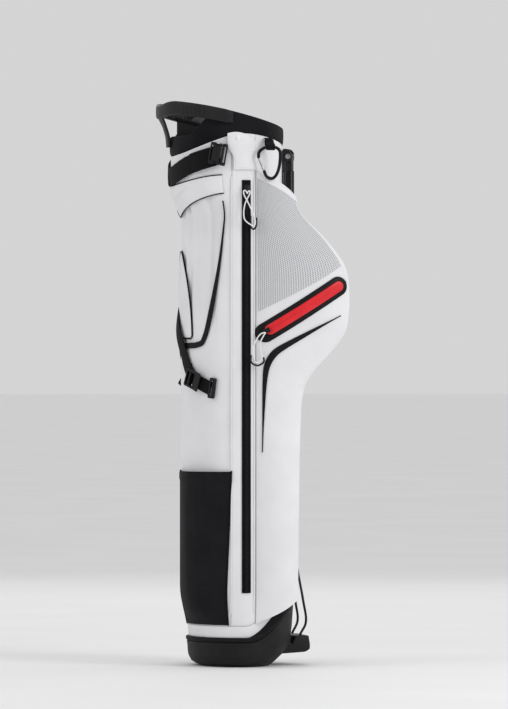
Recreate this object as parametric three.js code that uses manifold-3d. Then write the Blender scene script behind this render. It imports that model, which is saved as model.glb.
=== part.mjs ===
// A light golf bag with a sprung two-leg stand.
// Millimetres. +Z is up, +X is the side with the legs, -X the side with the carrying straps, and
// -Y the near side, with the coloured pocket zip. The origin is on the floor, under the tube.
import * as THREE from "three";
import { mergeVertices } from "three/addons/utils/BufferGeometryUtils.js";
import Module from "manifold-3d";

const wasm = await Module();
wasm.setup();

// Driving dimensions.
const GAP = 0.4; // kept between pieces that rest on each other
const PANEL = 2.5; // thickness of the tube's fabric with its lining
const TUBE = { centre: -9, depth: 80, width: 100 }; // half axes of the oval tube
const COLLAR = { centre: -18.4, depth: 86.4, from: 690, to: 752 }; // where the tube widens, and to what
const TAPER = { centre: 4, depth: -9, width: -6, from: 125, to: 40 }; // how it narrows to the boot
const RIM_MIDDLE = 856; // the slanting rim's height halfway back
const RIM_SLOPE = 21.5; // and how far the rim stands above and below that, at the back and the front
const COLLAR_THICK = 5;
const BAR = { rear: -98, front: 61, height: 38, below: 26 }; // the divider bars, and how far below the rim
const WINDOW = { from: 104, to: 150, sill: 822 }; // the hand gap under the grab handle
const BOOT_TOP = { rear: 38, rise: 68 };
const WELT = 8; // height of the welt on the boot
const LOWER_BAND = 18; // height of the fabric band above the welt
const SIDE = { rear: -30, front: 7, zip: -8, zipWidth: 14 }; // the side column and its zip, along X
const POCKET_FRONT = -34; // angle at which the pocket's inner flank meets the tube
const HINGE = { x: 76, y: 30, z: 791, splay: 26 }; // the near leg's hinge pin, and how far the leg points aside
const LEG = { tube: 594, shank: 22, radius: 7, wall: 1.2 };
const PLATE = { hingeX: 60, hingeZ: 22, front: 108, halfWidth: 33 };

// Outlines, as rows that are read by height.
const BOOT_OUTLINE = [
  // height, rear, front, half width
  [0, -58, 46, 74],
  [6, -71, 54, 87],
  [14, -76, 63, 94],
  [30, -78, 80, 97],
  [37, -79, 81, 98],
  [115, -82, 87, 99],
];
const POCKET_OUTLINE = [
  // height, how far the pocket's front edge stands in front of the origin
  [66, 78],
  [318, 81],
  [412, 84],
  [446, 92],
  [479, 124],
  [513, 154],
  [548, 160],
  [583, 160],
  [615, 157],
  [635, 145],
  [674, 112],
  [696, 84],
  [728, 73],
  [790, 71],
];
const POCKET_SLIM = 78;
const POCKET_FULL = 160;
const POCKET_BOTTOM = 105; // at its front edge
const POCKET_TOP = 728;
const POCKET_LEAN = 38; // how far its edge at the zip runs past both

const { degToRad, lerp, smoothstep, clamp } = THREE.MathUtils;

// Finishes.
const finish = (color, roughness, metalness = 0) => ({ color, roughness, metalness });
const WHITE_FABRIC = finish(0xe8e8ea, 0.8);
const GREY_MESH = finish(0xc4c5c8, 0.85);
const BLACK_FABRIC = finish(0x17171a, 0.85);
const BLACK_WEBBING = finish(0x1b1b1e, 0.8);
const RED_COATING = finish(0xe4323a, 0.45);
const BLACK_PLASTIC = finish(0x202023, 0.5);
const BOOT_PLASTIC = finish(0x343335, 0.6);
const LEG_METAL = finish(0x2c2c2f, 0.35, 0.8);
const STEEL = finish(0x9a9a9c, 0.3, 1);
const RUBBER = finish(0x1c1c1e, 0.9);

const bag = new THREE.Group();

function part(name, geometry, material, parent = bag) {
  const mesh = new THREE.Mesh(geometry, new THREE.MeshStandardMaterial(material));
  mesh.name = name;
  parent.add(mesh);
  return mesh;
}

// Reads one column of an outline at a height, straight between its rows.
function readOutline(rows, height, column = 1) {
  const next = rows.findIndex((row) => row[0] > height);
  if (next < 0) return rows.at(-1)[column];
  if (next === 0) return rows[0][column];
  const [below, above] = [rows[next - 1], rows[next]];
  return lerp(below[column], above[column], (height - below[0]) / (above[0] - below[0]));
}

// The oval that the tube makes at a height.
function tubeOval(z) {
  const flare = smoothstep(z, COLLAR.from, COLLAR.to);
  const taper = 1 - smoothstep(z, TAPER.to, TAPER.from);
  return {
    centre: lerp(TUBE.centre, COLLAR.centre, flare) + TAPER.centre * taper,
    depth: lerp(TUBE.depth, COLLAR.depth, flare) + TAPER.depth * taper,
    width: TUBE.width + TAPER.width * taper,
  };
}

// A point on the tube's skin, or "out" outside it. Angle 0 faces the legs, 180 the straps, -90 the near side.
function onTube(angle, z, out = 0) {
  const oval = tubeOval(z);
  const turn = degToRad(angle);
  const x = oval.centre + (oval.depth + out) * Math.cos(turn);
  return new THREE.Vector3(x, (oval.width + out) * Math.sin(turn), z);
}

// The angle at which the near side of the tube is at a given x.
function sideAngle(x, z) {
  const oval = tubeOval(z);
  return -THREE.MathUtils.radToDeg(Math.acos(clamp((x - oval.centre) / oval.depth, -1, 1)));
}

function onBoot(angle, z, out = 0) {
  const [rear, front, width] = [1, 2, 3].map((column) => readOutline(BOOT_OUTLINE, z, column));
  const turn = degToRad(angle);
  const x = (front + rear) / 2 + ((front - rear) / 2 + out) * Math.cos(turn);
  return new THREE.Vector3(x, (width + out) * Math.sin(turn), z);
}

const bootTop = (angle) =>
  BOOT_TOP.rear + BOOT_TOP.rise * Math.max(0, Math.cos(degToRad(angle))) ** 1.5;
const bandTop = (angle) => bootTop(angle) + WELT + LOWER_BAND;

function collarBottom(angle) {
  const forward = Math.cos(degToRad(angle));
  return forward < 0 ? 825 - 33 * (-forward) ** 1.3 : 825 - 17 * forward ** 2;
}

const rim = (angle) => RIM_MIDDLE - RIM_SLOPE * Math.cos(degToRad(angle));

function collarTop(angle) {
  const turned = Math.abs(THREE.MathUtils.euclideanModulo(angle + 180, 360) - 180);
  return lerp(rim(angle), WINDOW.sill, smoothstep(turned, WINDOW.from, WINDOW.to));
}

// A closed geometry from points and triangles, turned so that its faces point out.
function closedGeometry(points, triangles) {
  const volume = triangles.reduce((sum, [a, b, c]) => {
    const cross = new THREE.Vector3().crossVectors(points[b], points[c]);
    return sum + points[a].dot(cross);
  }, 0);
  const outward = volume < 0 ? triangles.map(([a, b, c]) => [a, c, b]) : triangles;
  return new THREE.BufferGeometry().setFromPoints(points).setIndex(outward.flat());
}

// A sheet with thickness: place(u, v, side) gives its points, on side 0 and side 1.
// A ring closes on itself along u.
function shell(stepsU, stepsV, place, ring = false) {
  const columns = ring ? stepsU : stepsU + 1;
  const points = [];
  for (const side of [0, 1])
    for (let i = 0; i < columns; i++)
      for (let j = 0; j <= stepsV; j++) points.push(place(i / stepsU, j / stepsV, side));
  const at = (i, j, side) => (side * columns + (i % columns)) * (stepsV + 1) + j;
  const triangles = [];
  const quad = (a, b, c, d) => triangles.push([a, b, c], [a, c, d]);
  for (let i = 0; i < stepsU; i++) {
    for (let j = 0; j < stepsV; j++) {
      quad(at(i, j, 1), at(i + 1, j, 1), at(i + 1, j + 1, 1), at(i, j + 1, 1));
      quad(at(i, j, 0), at(i, j + 1, 0), at(i + 1, j + 1, 0), at(i + 1, j, 0));
    }
    quad(at(i, 0, 0), at(i + 1, 0, 0), at(i + 1, 0, 1), at(i, 0, 1));
    quad(at(i, stepsV, 1), at(i + 1, stepsV, 1), at(i + 1, stepsV, 0), at(i, stepsV, 0));
  }
  if (!ring)
    for (let j = 0; j < stepsV; j++) {
      quad(at(0, j, 1), at(0, j + 1, 1), at(0, j + 1, 0), at(0, j, 0));
      quad(at(stepsU, j, 0), at(stepsU, j + 1, 0), at(stepsU, j + 1, 1), at(stepsU, j, 1));
    }
  return closedGeometry(points, triangles);
}

// A solid through rings of points, closed at both ends.
function loft(rings) {
  const count = rings[0].length;
  const points = rings.flat();
  const triangles = [];
  for (let i = 0; i + 1 < rings.length; i++)
    for (let j = 0; j < count; j++) {
      const [a, b] = [i * count + j, i * count + ((j + 1) % count)];
      triangles.push([a, b, b + count], [a, b + count, a + count]);
    }
  for (const [ring, flip] of [
    [0, true],
    [rings.length - 1, false],
  ]) {
    const middle = points.length;
    const sum = rings[ring].reduce((total, p) => total.add(p), new THREE.Vector3());
    points.push(sum.divideScalar(count));
    for (let j = 0; j < count; j++) {
      const [a, b] = [ring * count + j, ring * count + ((j + 1) % count)];
      triangles.push(flip ? [middle, b, a] : [middle, a, b]);
    }
  }
  return closedGeometry(points, triangles);
}

// A patch of the tube's skin. The edges are angles by height and heights by angle.
// The rows are the heights, or heights by angle, of the points between its bottom and its top.
function tubePatch({ from, to, bottom, top, inner, outer, stepsU = 12, rows = [], ring = false }) {
  const read = (edge, at) => (typeof edge === "function" ? edge(at) : edge);
  const place = (u, v, side) => {
    const row = Math.round(v * (rows.length + 1));
    const heightAt = (angle) => read([bottom, ...rows, top][row], angle);
    const angleAt = (z) => lerp(read(from, z), read(to, z), u);
    let z = heightAt(angleAt(400));
    z = heightAt(angleAt(z));
    return onTube(angleAt(z), z, side ? read(outer, u) : inner);
  };
  return shell(stepsU, rows.length + 1, place, ring);
}

// A flat band laid on the tube along stations of [angle, height], with its width by the way along it.
const MEAN_RADIUS = 88;
function ribbon(stations, width, inner, outer, steps = 12, across = 2) {
  const flat = stations.map(([angle, z]) => new THREE.Vector2(degToRad(angle) * MEAN_RADIUS, z));
  const line = new THREE.SplineCurve(flat);
  const place = (u, v, side) => {
    const middle = line.getPoint(u);
    const along = line.getTangent(u);
    const aside = (v - 0.5) * (typeof width === "function" ? width(u) : width);
    const angle = THREE.MathUtils.radToDeg((middle.x - along.y * aside) / MEAN_RADIUS);
    return onTube(angle, middle.y + along.x * aside, side ? outer : inner);
  };
  return shell(steps, across, place);
}

// A round bar along a smooth curve through points.
function bar(points, radius, steps, sides = 8) {
  const section = new THREE.Shape().absarc(0, 0, radius, 0, 2 * Math.PI);
  const path = new THREE.CatmullRomCurve3(points.map((p) => new THREE.Vector3(...p)));
  const options = { extrudePath: path, steps, curveSegments: sides / 2, bevelEnabled: false };
  return new THREE.ExtrudeGeometry(section, options);
}

// A box that lies flat on the tube, its long side turned by "lean" degrees.
function blockOnTube(angle, z, [length, height, thick], out, lean = 0) {
  const box = new THREE.BoxGeometry(length, height, thick);
  box.rotateZ(degToRad(lean));
  const at = onTube(angle, z, out + thick / 2);
  const outward = onTube(angle, z, 100).sub(onTube(angle, z)).normalize();
  const along = new THREE.Vector3(-outward.y, outward.x, 0);
  const up = new THREE.Vector3(0, 0, 1);
  const frame = new THREE.Matrix4().makeBasis(along, up, outward).setPosition(at);
  return box.applyMatrix4(frame);
}

// Manifold solids, for the pieces that are cut or joined.
function solid(geometry) {
  const bare = geometry.clone();
  for (const name of Object.keys(bare.attributes))
    if (name !== "position") bare.deleteAttribute(name);
  const merged = mergeVertices(bare, 1e-4);
  return new wasm.Manifold(
    new wasm.Mesh({
      numProp: 3,
      vertProperties: new Float32Array(merged.attributes.position.array),
      triVerts: new Uint32Array(merged.index.array),
    }),
  );
}

function geometryOf(manifold) {
  const mesh = manifold.getMesh();
  return new THREE.BufferGeometry()
    .setAttribute("position", new THREE.BufferAttribute(mesh.vertProperties, 3))
    .setIndex(new THREE.BufferAttribute(mesh.triVerts, 1));
}

const box = (x0, x1, y0, y1, z0, z1) =>
  new THREE.BoxGeometry(x1 - x0, y1 - y0, z1 - z0).translate(
    (x0 + x1) / 2,
    (y0 + y1) / 2,
    (z0 + z1) / 2,
  );

// The same piece on the far side.
function mirrored(geometry) {
  const copy = geometry.clone().scale(1, -1, 1);
  if (!copy.index) copy.setIndex([...Array(copy.attributes.position.count).keys()]);
  const index = copy.index.array;
  for (let i = 0; i < index.length; i += 3) [index[i + 1], index[i + 2]] = [index[i + 2], index[i + 1]];
  return copy;
}

function onBothSides(name, geometry, material) {
  part(`near_${name}`, geometry, material);
  part(`far_${name}`, mirrored(geometry), material);
}

// The boot: a moulded cup with a sole, a slanting toe and a mouth that rises to the front.
// The foot plate's slot is cut through its toe.
function makeBoot() {
  const steps = 40;
  const ringOf = (place) =>
    Array.from({ length: steps }, (_, i) => place(-180 + (360 * i) / steps));
  const wall = 3.5;
  const rings = [
    ...[0, 6, 14, 30].map((z) => ringOf((angle) => onBoot(angle, z))),
    ringOf((angle) => onBoot(angle, bootTop(angle))),
    ringOf((angle) => onBoot(angle, bootTop(angle), -wall)),
    ringOf((angle) => onBoot(angle, 32, -wall)),
    ringOf((angle) => onBoot(angle, 16, -wall - 2)),
    ringOf((angle) => onBoot(angle, 8, -wall - 6)),
  ];
  const slot = box(44, 130, -PLATE.halfWidth - 2, PLATE.halfWidth + 2, 10, 58);
  part("base_cup", geometryOf(solid(loft(rings)).subtract(solid(slot))), BOOT_PLASTIC);

  const welt = shell(
    48,
    1,
    (u, v, side) => {
      const angle = 360 * u - 180;
      const z = bootTop(angle) + GAP + v * (WELT - 2 * GAP);
      return side ? onBoot(angle, z, 0.8) : onTube(angle, z, -PANEL - GAP);
    },
    true,
  );
  part("base_welt", welt, BLACK_PLASTIC);
}

// The tube: four fabric panels sewn edge to edge over a band that is fixed to the boot.
function makeTube() {
  const band = {
    from: -180,
    to: 180,
    bottom: (angle) => bootTop(angle) + WELT,
    top: (angle) => bandTop(angle) - 2 * GAP,
    inner: -PANEL,
    outer: -GAP,
    stepsU: 48,
    ring: true,
  };
  part("lower_band", tubePatch(band), WHITE_FABRIC);

  const heights = { bottom: bandTop, top: (angle) => collarBottom(angle) - 2 * GAP };
  const upperRows = [400, 690, 706, 721, 736, 752, 775];
  const lowerRows = [80, 95, 110, 125, ...upperRows];
  const thickness = { inner: -PANEL, outer: 0 };
  const rearEdge = (z) => sideAngle(SIDE.rear, z);
  const frontEdge = (z) => sideAngle(SIDE.front, z);
  const seam = 0.4; // degrees
  const rear = {
    from: (z) => -360 - rearEdge(z) + seam,
    to: (z) => rearEdge(z) - seam,
    ...heights,
    ...thickness,
  };
  part("rear_panel", tubePatch({ ...rear, stepsU: 22, rows: lowerRows }), WHITE_FABRIC);
  const side = { from: rearEdge, to: frontEdge, ...heights, ...thickness };
  onBothSides("side_panel", tubePatch({ ...side, stepsU: 4, rows: lowerRows }), WHITE_FABRIC);
  const front = {
    from: (z) => frontEdge(z) + seam,
    to: (z) => -frontEdge(z) - seam,
    ...heights,
    ...thickness,
  };
  part("front_panel", tubePatch({ ...front, stepsU: 18, rows: [145, ...upperRows] }), WHITE_FABRIC);
}

// Inside the tube: a full-length divider sheet and two stays that hold the boot and the collar apart.
function makeInside() {
  part("divider_sheet", box(-74, 62, -1, 1, 72, 764), BLACK_FABRIC);
  const stay = new THREE.CylinderGeometry(3, 3, 680, 12).rotateX(Math.PI / 2);
  const at = onTube(-150, 300, -14);
  onBothSides("stay", stay.translate(at.x, at.y, 430), BLACK_PLASTIC);
}

// The top: a padded collar, a moulded frame with the club divider, and the grab handle.
function makeTop() {
  const collar = {
    from: -180,
    to: 180,
    bottom: collarBottom,
    top: collarTop,
    inner: -COLLAR_THICK,
    outer: 1,
    stepsU: 48,
    ring: true,
  };
  part("collar", tubePatch(collar), BLACK_FABRIC);

  const frameRing = {
    ...collar,
    bottom: 790,
    top: (angle) => collarTop(angle) - 3,
    inner: -COLLAR_THICK - 4.5,
    outer: -COLLAR_THICK - GAP,
  };
  const barTop = (x) => RIM_MIDDLE - BAR.below - (RIM_SLOPE * (x - COLLAR.centre)) / COLLAR.depth;
  const longBar = new THREE.Shape()
    .moveTo(BAR.rear, barTop(BAR.rear) - BAR.height)
    .lineTo(BAR.front, barTop(BAR.front) - BAR.height)
    .lineTo(BAR.front, barTop(BAR.front))
    .lineTo(BAR.rear, barTop(BAR.rear))
    .closePath();
  const long = new THREE.ExtrudeGeometry(longBar, { depth: 4, bevelEnabled: false });
  const crossTop = barTop(COLLAR.centre);
  const cross = box(COLLAR.centre - 2, COLLAR.centre + 2, -93, 93, crossTop - BAR.height, crossTop);
  const frame = solid(tubePatch(frameRing))
    .add(solid(long.rotateX(Math.PI / 2).translate(0, 2, 0)))
    .add(solid(cross));
  part("divider_frame", geometryOf(frame), BLACK_PLASTIC);

  makeHandle();
}

// The grab handle: a moulded band that bows out behind the collar, with a post down its middle.
function makeHandle() {
  const [height, thick, end, steps] = [21, 8, 97, 26];
  const corners = [
    [-0.5, -0.36],
    [-0.5, 0.36],
    [-0.3, 0.5],
    [0.3, 0.5],
    [0.5, 0.36],
    [0.5, -0.36],
    [0.3, -0.5],
    [-0.3, -0.5],
  ];
  const rings = Array.from({ length: steps + 1 }, (_, i) => {
    const angle = end + ((360 - 2 * end) * i) / steps;
    const turned = Math.min(angle, 360 - angle);
    const out = 6 + 13 * smoothstep(turned, end, 165);
    const z = rim(angle) - height / 2 - 8 * smoothstep(turned, 150, 180);
    return corners.map(([a, h]) => onTube(angle, z, out + a * thick).setZ(z + h * height));
  });
  const post = loft(
    [
      [-123, 852],
      [-116, 836],
      [-111, 820],
      [-110, 804],
    ].map(([x, z]) =>
      [
        [-3, -11],
        [-3, 11],
        [3, 11],
        [3, -11],
      ].map(([a, b]) => new THREE.Vector3(x + a, b, z)),
    ),
  );
  part("grab_handle", geometryOf(solid(loft(rings)).add(solid(post))), BLACK_PLASTIC);
}

// The pocket's outer face: share 0 is at the side zip and share 1 at the pocket's front edge.
function onPocket(share, z, out = 0) {
  const reach = readOutline(POCKET_OUTLINE, z);
  const full = (reach - POCKET_SLIM) / (POCKET_FULL - POCKET_SLIM);
  const flat = smoothstep(z, 680, POCKET_TOP + POCKET_LEAN);
  const start = onTube(sideAngle(SIDE.front + 1, z), z, 1.6);
  const curve = new THREE.QuadraticBezierCurve(
    new THREE.Vector2(start.x, start.y),
    new THREE.Vector2(lerp(55, 85, full), -lerp(lerp(124, 141, full), 112, flat)),
    new THREE.Vector2(reach, -lerp(lerp(86, 108, full), 74, flat)),
  );
  const at = curve.getPoint(share);
  const along = curve.getTangent(share);
  return new THREE.Vector3(at.x + along.y * out, at.y - along.x * out, z);
}

// The share at which the pocket's face is at a given x.
function pocketShare(x, z) {
  let [low, high] = [0, 1];
  for (let i = 0; i < 20; i++) {
    const middle = (low + high) / 2;
    if (onPocket(middle, z).x < x) low = middle;
    else high = middle;
  }
  return low;
}

function pocketHeight(share, height) {
  const upper = smoothstep(height, 640, POCKET_TOP);
  const lower = 1 - smoothstep(height, POCKET_BOTTOM, 210);
  return height + POCKET_LEAN * (1 - share) * (upper - lower);
}

function makePockets() {
  const upperRows = [635, 655, 674, 685, 696, 710, 722];
  const heights = [POCKET_BOTTOM, 150, 210, 318, 412, 446, 479, 513, 548, 583, 615];
  heights.push(...upperRows, POCKET_TOP);
  const faceSteps = 9;
  const flankSteps = 4;
  const stepsU = faceSteps + flankSteps;
  const place = (u, v, side) => {
    const step = Math.round(u * stepsU);
    const share = Math.min(1, step / faceSteps);
    const z = pocketHeight(share, heights[Math.round(v * (heights.length - 1))]);
    const angle = lerp(sideAngle(SIDE.front + 1, z), POCKET_FRONT, u);
    if (!side) return onTube(angle, z, 3 * GAP);
    if (step <= faceSteps) return onPocket(share, z);
    const flank = (step - faceSteps) / flankSteps;
    return onPocket(1, z).lerp(onTube(POCKET_FRONT, z, 4), flank);
  };
  onBothSides("pocket", shell(stepsU, heights.length - 1, place), WHITE_FABRIC);

  // The breathable mesh on the pocket's upper half, above the coloured zip.
  const meshRows = 3 + upperRows.length;
  const mesh = shell(8, meshRows - 1, (u, v, side) => {
    const share = 0.03 + 0.92 * u;
    const row = Math.round(v * (meshRows - 1)) - 3;
    const z = row < 0 ? lerp(635, lerp(546, 619, share), -row / 3) : pocketHeight(share, upperRows[row]);
    return onPocket(share, z, side ? 2.6 : 4 * GAP);
  });
  part("near_mesh_panel", mesh, GREY_MESH);

  // The coloured zip runs up the face in a straight line, between round ends.
  const zipEnds = { x0: 20, z0: 517, x1: 134, z1: 588 };
  const zipLean = Math.atan2(zipEnds.z1 - zipEnds.z0, zipEnds.x1 - zipEnds.x0);
  const zipBand = (halfWidth, reach, inner, outer) =>
    shell(12, 2, (u, v, side) => {
      const length = Math.hypot(zipEnds.x1 - zipEnds.x0, zipEnds.z1 - zipEnds.z0);
      const along = -reach + u * (length + 2 * reach);
      const past = Math.max(0, -along, along - length);
      const half = Math.sqrt(Math.max(halfWidth ** 2 - past ** 2, 1));
      const share = along / length;
      const x = lerp(zipEnds.x0, zipEnds.x1, share);
      const z = lerp(zipEnds.z0, zipEnds.z1, share) + (v - 0.5) * 2 * half;
      return onPocket(pocketShare(x, z), z, side ? outer : inner);
    });
  part("pocket_zip_surround", zipBand(15, 13, 1.0 + GAP, 3.2), BLACK_PLASTIC);
  part("pocket_zip", zipBand(8, 4, 3.2 + GAP, 5), RED_COATING);

  // Its slider waits at the lower end, and the grip hangs from it on a cord. The face curves away
  // under the slider's straight path, so the slider is turned to the middle of that path.
  const at = onPocket(pocketShare(zipEnds.x0 + 4, zipEnds.z0 + 2), zipEnds.z0 + 2, 9.4);
  const slider = new THREE.BoxGeometry(12, 3.2, 8)
    .rotateY(-zipLean)
    .rotateZ(degToRad(-18))
    .translate(at.x, at.y, at.z);
  part("pocket_slider", slider, BLACK_PLASTIC);
  part("pocket_pull", box(-3, 17, at.y + 1, at.y + 5, 466, 482), BLACK_PLASTIC);

  // The trim under it: a line that swells towards its corner and thins out downwards.
  const line = new THREE.CatmullRomCurve3(
    [
      [138, 543],
      [80, 512],
      [34, 484],
      [22, 468],
      [19, 440],
      [17, 332],
    ].map(([x, z]) => new THREE.Vector3(x, 0, z)),
    false,
    "centripetal",
  );
  const trim = shell(16, 1, (u, v, side) => {
    const at = line.getPoint(u);
    const along = line.getTangent(u);
    const half = 1 + 4.5 * Math.sin(Math.PI * Math.min(1, u * 1.02)) ** 2;
    const x = at.x + (v - 0.5) * 2 * half * along.z;
    const z = at.z - (v - 0.5) * 2 * half * along.x;
    return onPocket(pocketShare(x, z), z, side ? 1.6 : GAP);
  });
  part("chevron_trim", trim, BLACK_FABRIC);
}

// The long side zips, their sliders and pulls, and the tabs above them.
function makeSides() {
  const edge = (x) => (z) => sideAngle(x, z);
  const zip = tubePatch({
    from: edge(SIDE.zip - SIDE.zipWidth / 2),
    to: edge(SIDE.zip + SIDE.zipWidth / 2),
    bottom: 115,
    top: 752,
    inner: GAP,
    outer: 2,
    stepsU: 2,
    rows: [125, 400, 690, 706, 721, 736],
  });
  onBothSides("side_zip", zip, BLACK_PLASTIC);
  const slider = box(SIDE.zip - 5, SIDE.zip + 5, -107, -103, 724, 744);
  onBothSides("side_slider", slider, BLACK_PLASTIC);
  const grip = box(3, 9, -112, -107, 676, 697);
  onBothSides("side_pull", grip, BLACK_PLASTIC);

  const tabTop = (angle) => 829 - 0.045 * (angle + 90) ** 2;
  const tab = tubePatch({
    from: edge(SIDE.rear + 2),
    to: edge(SIDE.front + 3),
    bottom: 771,
    top: tabTop,
    inner: 1 + GAP,
    outer: 3,
    stepsU: 6,
  });
  onBothSides("side_tab", tab, WHITE_FABRIC);
}

// The strap side: yoke, trim, hip pad, drink pouch, webbing, buckles and shoulder pads.
function makeStrapSide() {
  const backness = (angle) => smoothstep(Math.abs(angle), 105, 180);
  const around = (angle) => (angle < -180 ? angle + 360 : angle);
  const yokeHeight = (share) => (angle) =>
    lerp(lerp(732, 760, share), lerp(690, 745, share), backness(around(angle)));
  const yoke = {
    from: -252,
    to: -108,
    bottom: yokeHeight(0),
    rows: [0.25, 0.5, 0.75].map(yokeHeight),
    top: yokeHeight(1),
    inner: 2 * GAP,
    outer: 2,
    stepsU: 20,
  };
  part("yoke_band", tubePatch(yoke), WHITE_FABRIC);

  const half = [
    [-111, 720],
    [-118, 630],
    [-128, 552],
    [-136, 510],
    [-146, 498],
    [-180, 497],
  ];
  const otherHalf = half.slice(0, -1).map(([angle, z]) => [-360 - angle, z]);
  const trimWidth = (u) => 2 + 7 * smoothstep(0.5 - Math.abs(u - 0.5), 0, 0.22);
  const trim = ribbon([...half, ...otherHalf.reverse()], trimWidth, 1.5 * GAP, 2, 40);
  part("rear_trim", trim, BLACK_FABRIC);

  const pad = {
    from: -207,
    to: -153,
    bottom: 508,
    top: 660,
    inner: GAP,
    outer: (u) => 1.8 + 2.4 * Math.sin(Math.PI * u),
    stepsU: 8,
  };
  part("hip_pad", tubePatch(pad), WHITE_FABRIC);

  const pouch = {
    from: -184,
    to: -104,
    bottom: 65,
    top: 303,
    inner: GAP,
    outer: (u) => 4 + 12 * Math.sin(Math.PI * u) ** 1.5,
    stepsU: 16,
    rows: [80, 95, 110, 125],
  };
  const hollow = {
    ...pouch,
    from: -182,
    to: -106,
    bottom: 68,
    top: 320,
    inner: GAP + 1.2,
    outer: (u) => 2.4 + 11.8 * Math.sin(Math.PI * u) ** 1.5,
  };
  const pouchSolid = solid(tubePatch(pouch)).subtract(solid(tubePatch(hollow)));
  part("drink_pouch", geometryOf(pouchSolid), BLACK_FABRIC);

  const upper = [
    [-176, 759],
    [-160, 766],
    [-139, 778],
    [-110, 791],
  ];
  onBothSides("upper_strap", ribbon(upper, 30, 2.6, 4.8, 12), BLACK_WEBBING);
  onBothSides("upper_buckle", blockOnTube(-111, 792, [26, 34, 7], 5.6, -10), BLACK_PLASTIC);
  const lower = {
    near: {
      line: [
        [-171, 500],
        [-164, 472],
        [-150, 447],
        [-128, 430],
      ],
      buckle: { angle: -148, z: 444, lean: -20 },
    },
    far: {
      line: [
        [150, 500],
        [138, 466],
        [126, 438],
        [112, 425],
      ],
      buckle: { angle: 126, z: 438, lean: 40 },
    },
  };
  for (const [side, { line, buckle }] of Object.entries(lower)) {
    part(`${side}_lower_strap`, ribbon(line, 22, 2.4, 4.4, 10), BLACK_WEBBING);
    const block = blockOnTube(buckle.angle, buckle.z, [32, 28, 7], 5.4, buckle.lean);
    part(`${side}_lower_buckle`, block, BLACK_PLASTIC);
  }

  // The shoulder pads, folded flat against the far side, one over the other.
  for (const [name, from, inner] of [
    ["shoulder_pad_a", 97, 5],
    ["shoulder_pad_b", 101, 14.4],
  ]) {
    const shoulder = {
      from,
      to: from + 26,
      bottom: 478,
      top: 738,
      inner,
      outer: (u) => inner + 4 + 5 * Math.sin(Math.PI * u) ** 0.7,
      stepsU: 8,
      rows: [690, 706, 721],
    };
    part(name, tubePatch(shoulder), BLACK_FABRIC);
  }
}

// The towel hook: a sewn loop, a carabiner that hangs from it, and its sprung gate.
const HOOK = { x: 29, y: -107, z: 803 };
function makeHook() {
  const outline = new THREE.Shape()
    .moveTo(-8, -7)
    .lineTo(4, -7)
    .lineTo(20.5, 6)
    .lineTo(20.5, 16)
    .lineTo(8, 16)
    .lineTo(-8, 6)
    .closePath();
  outline.holes.push(new THREE.Path().absarc(0, 0, 4.4, 0, 2 * Math.PI, true));
  const options = { depth: 8, bevelEnabled: false, curveSegments: 8 };
  const loop = new THREE.ExtrudeGeometry(outline, options)
    .translate(0, 0, -4)
    .applyMatrix4(
      new THREE.Matrix4().makeBasis(
        new THREE.Vector3(0, 1, 0),
        new THREE.Vector3(0, 0, 1),
        new THREE.Vector3(1, 0, 0),
      ),
    );
  const place = (geometry) => geometry.translate(HOOK.x, HOOK.y, HOOK.z);
  part("hook_loop", place(loop), BLACK_WEBBING);
  const body = [
    [-19, -16],
    [-18, -8],
    [-10, -1.5],
    [0, 0],
    [10, -1.5],
    [15, -8],
    [14.5, -25],
    [11, -39],
    [5.5, -47],
    [-1, -48.5],
    [-7, -44.5],
    [-10, -37.5],
  ].map(([x, z]) => [x, 0, z]);
  part("carabiner", place(bar(body, 2.4, 40)), BLACK_PLASTIC);
  const gate = [
    [-10.4, -36],
    [-18.6, -17.8],
  ].map(([x, z]) => [x, 0, z]);
  part("carabiner_gate", place(bar(gate, 1.5, 1)), STEEL);
}

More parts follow.
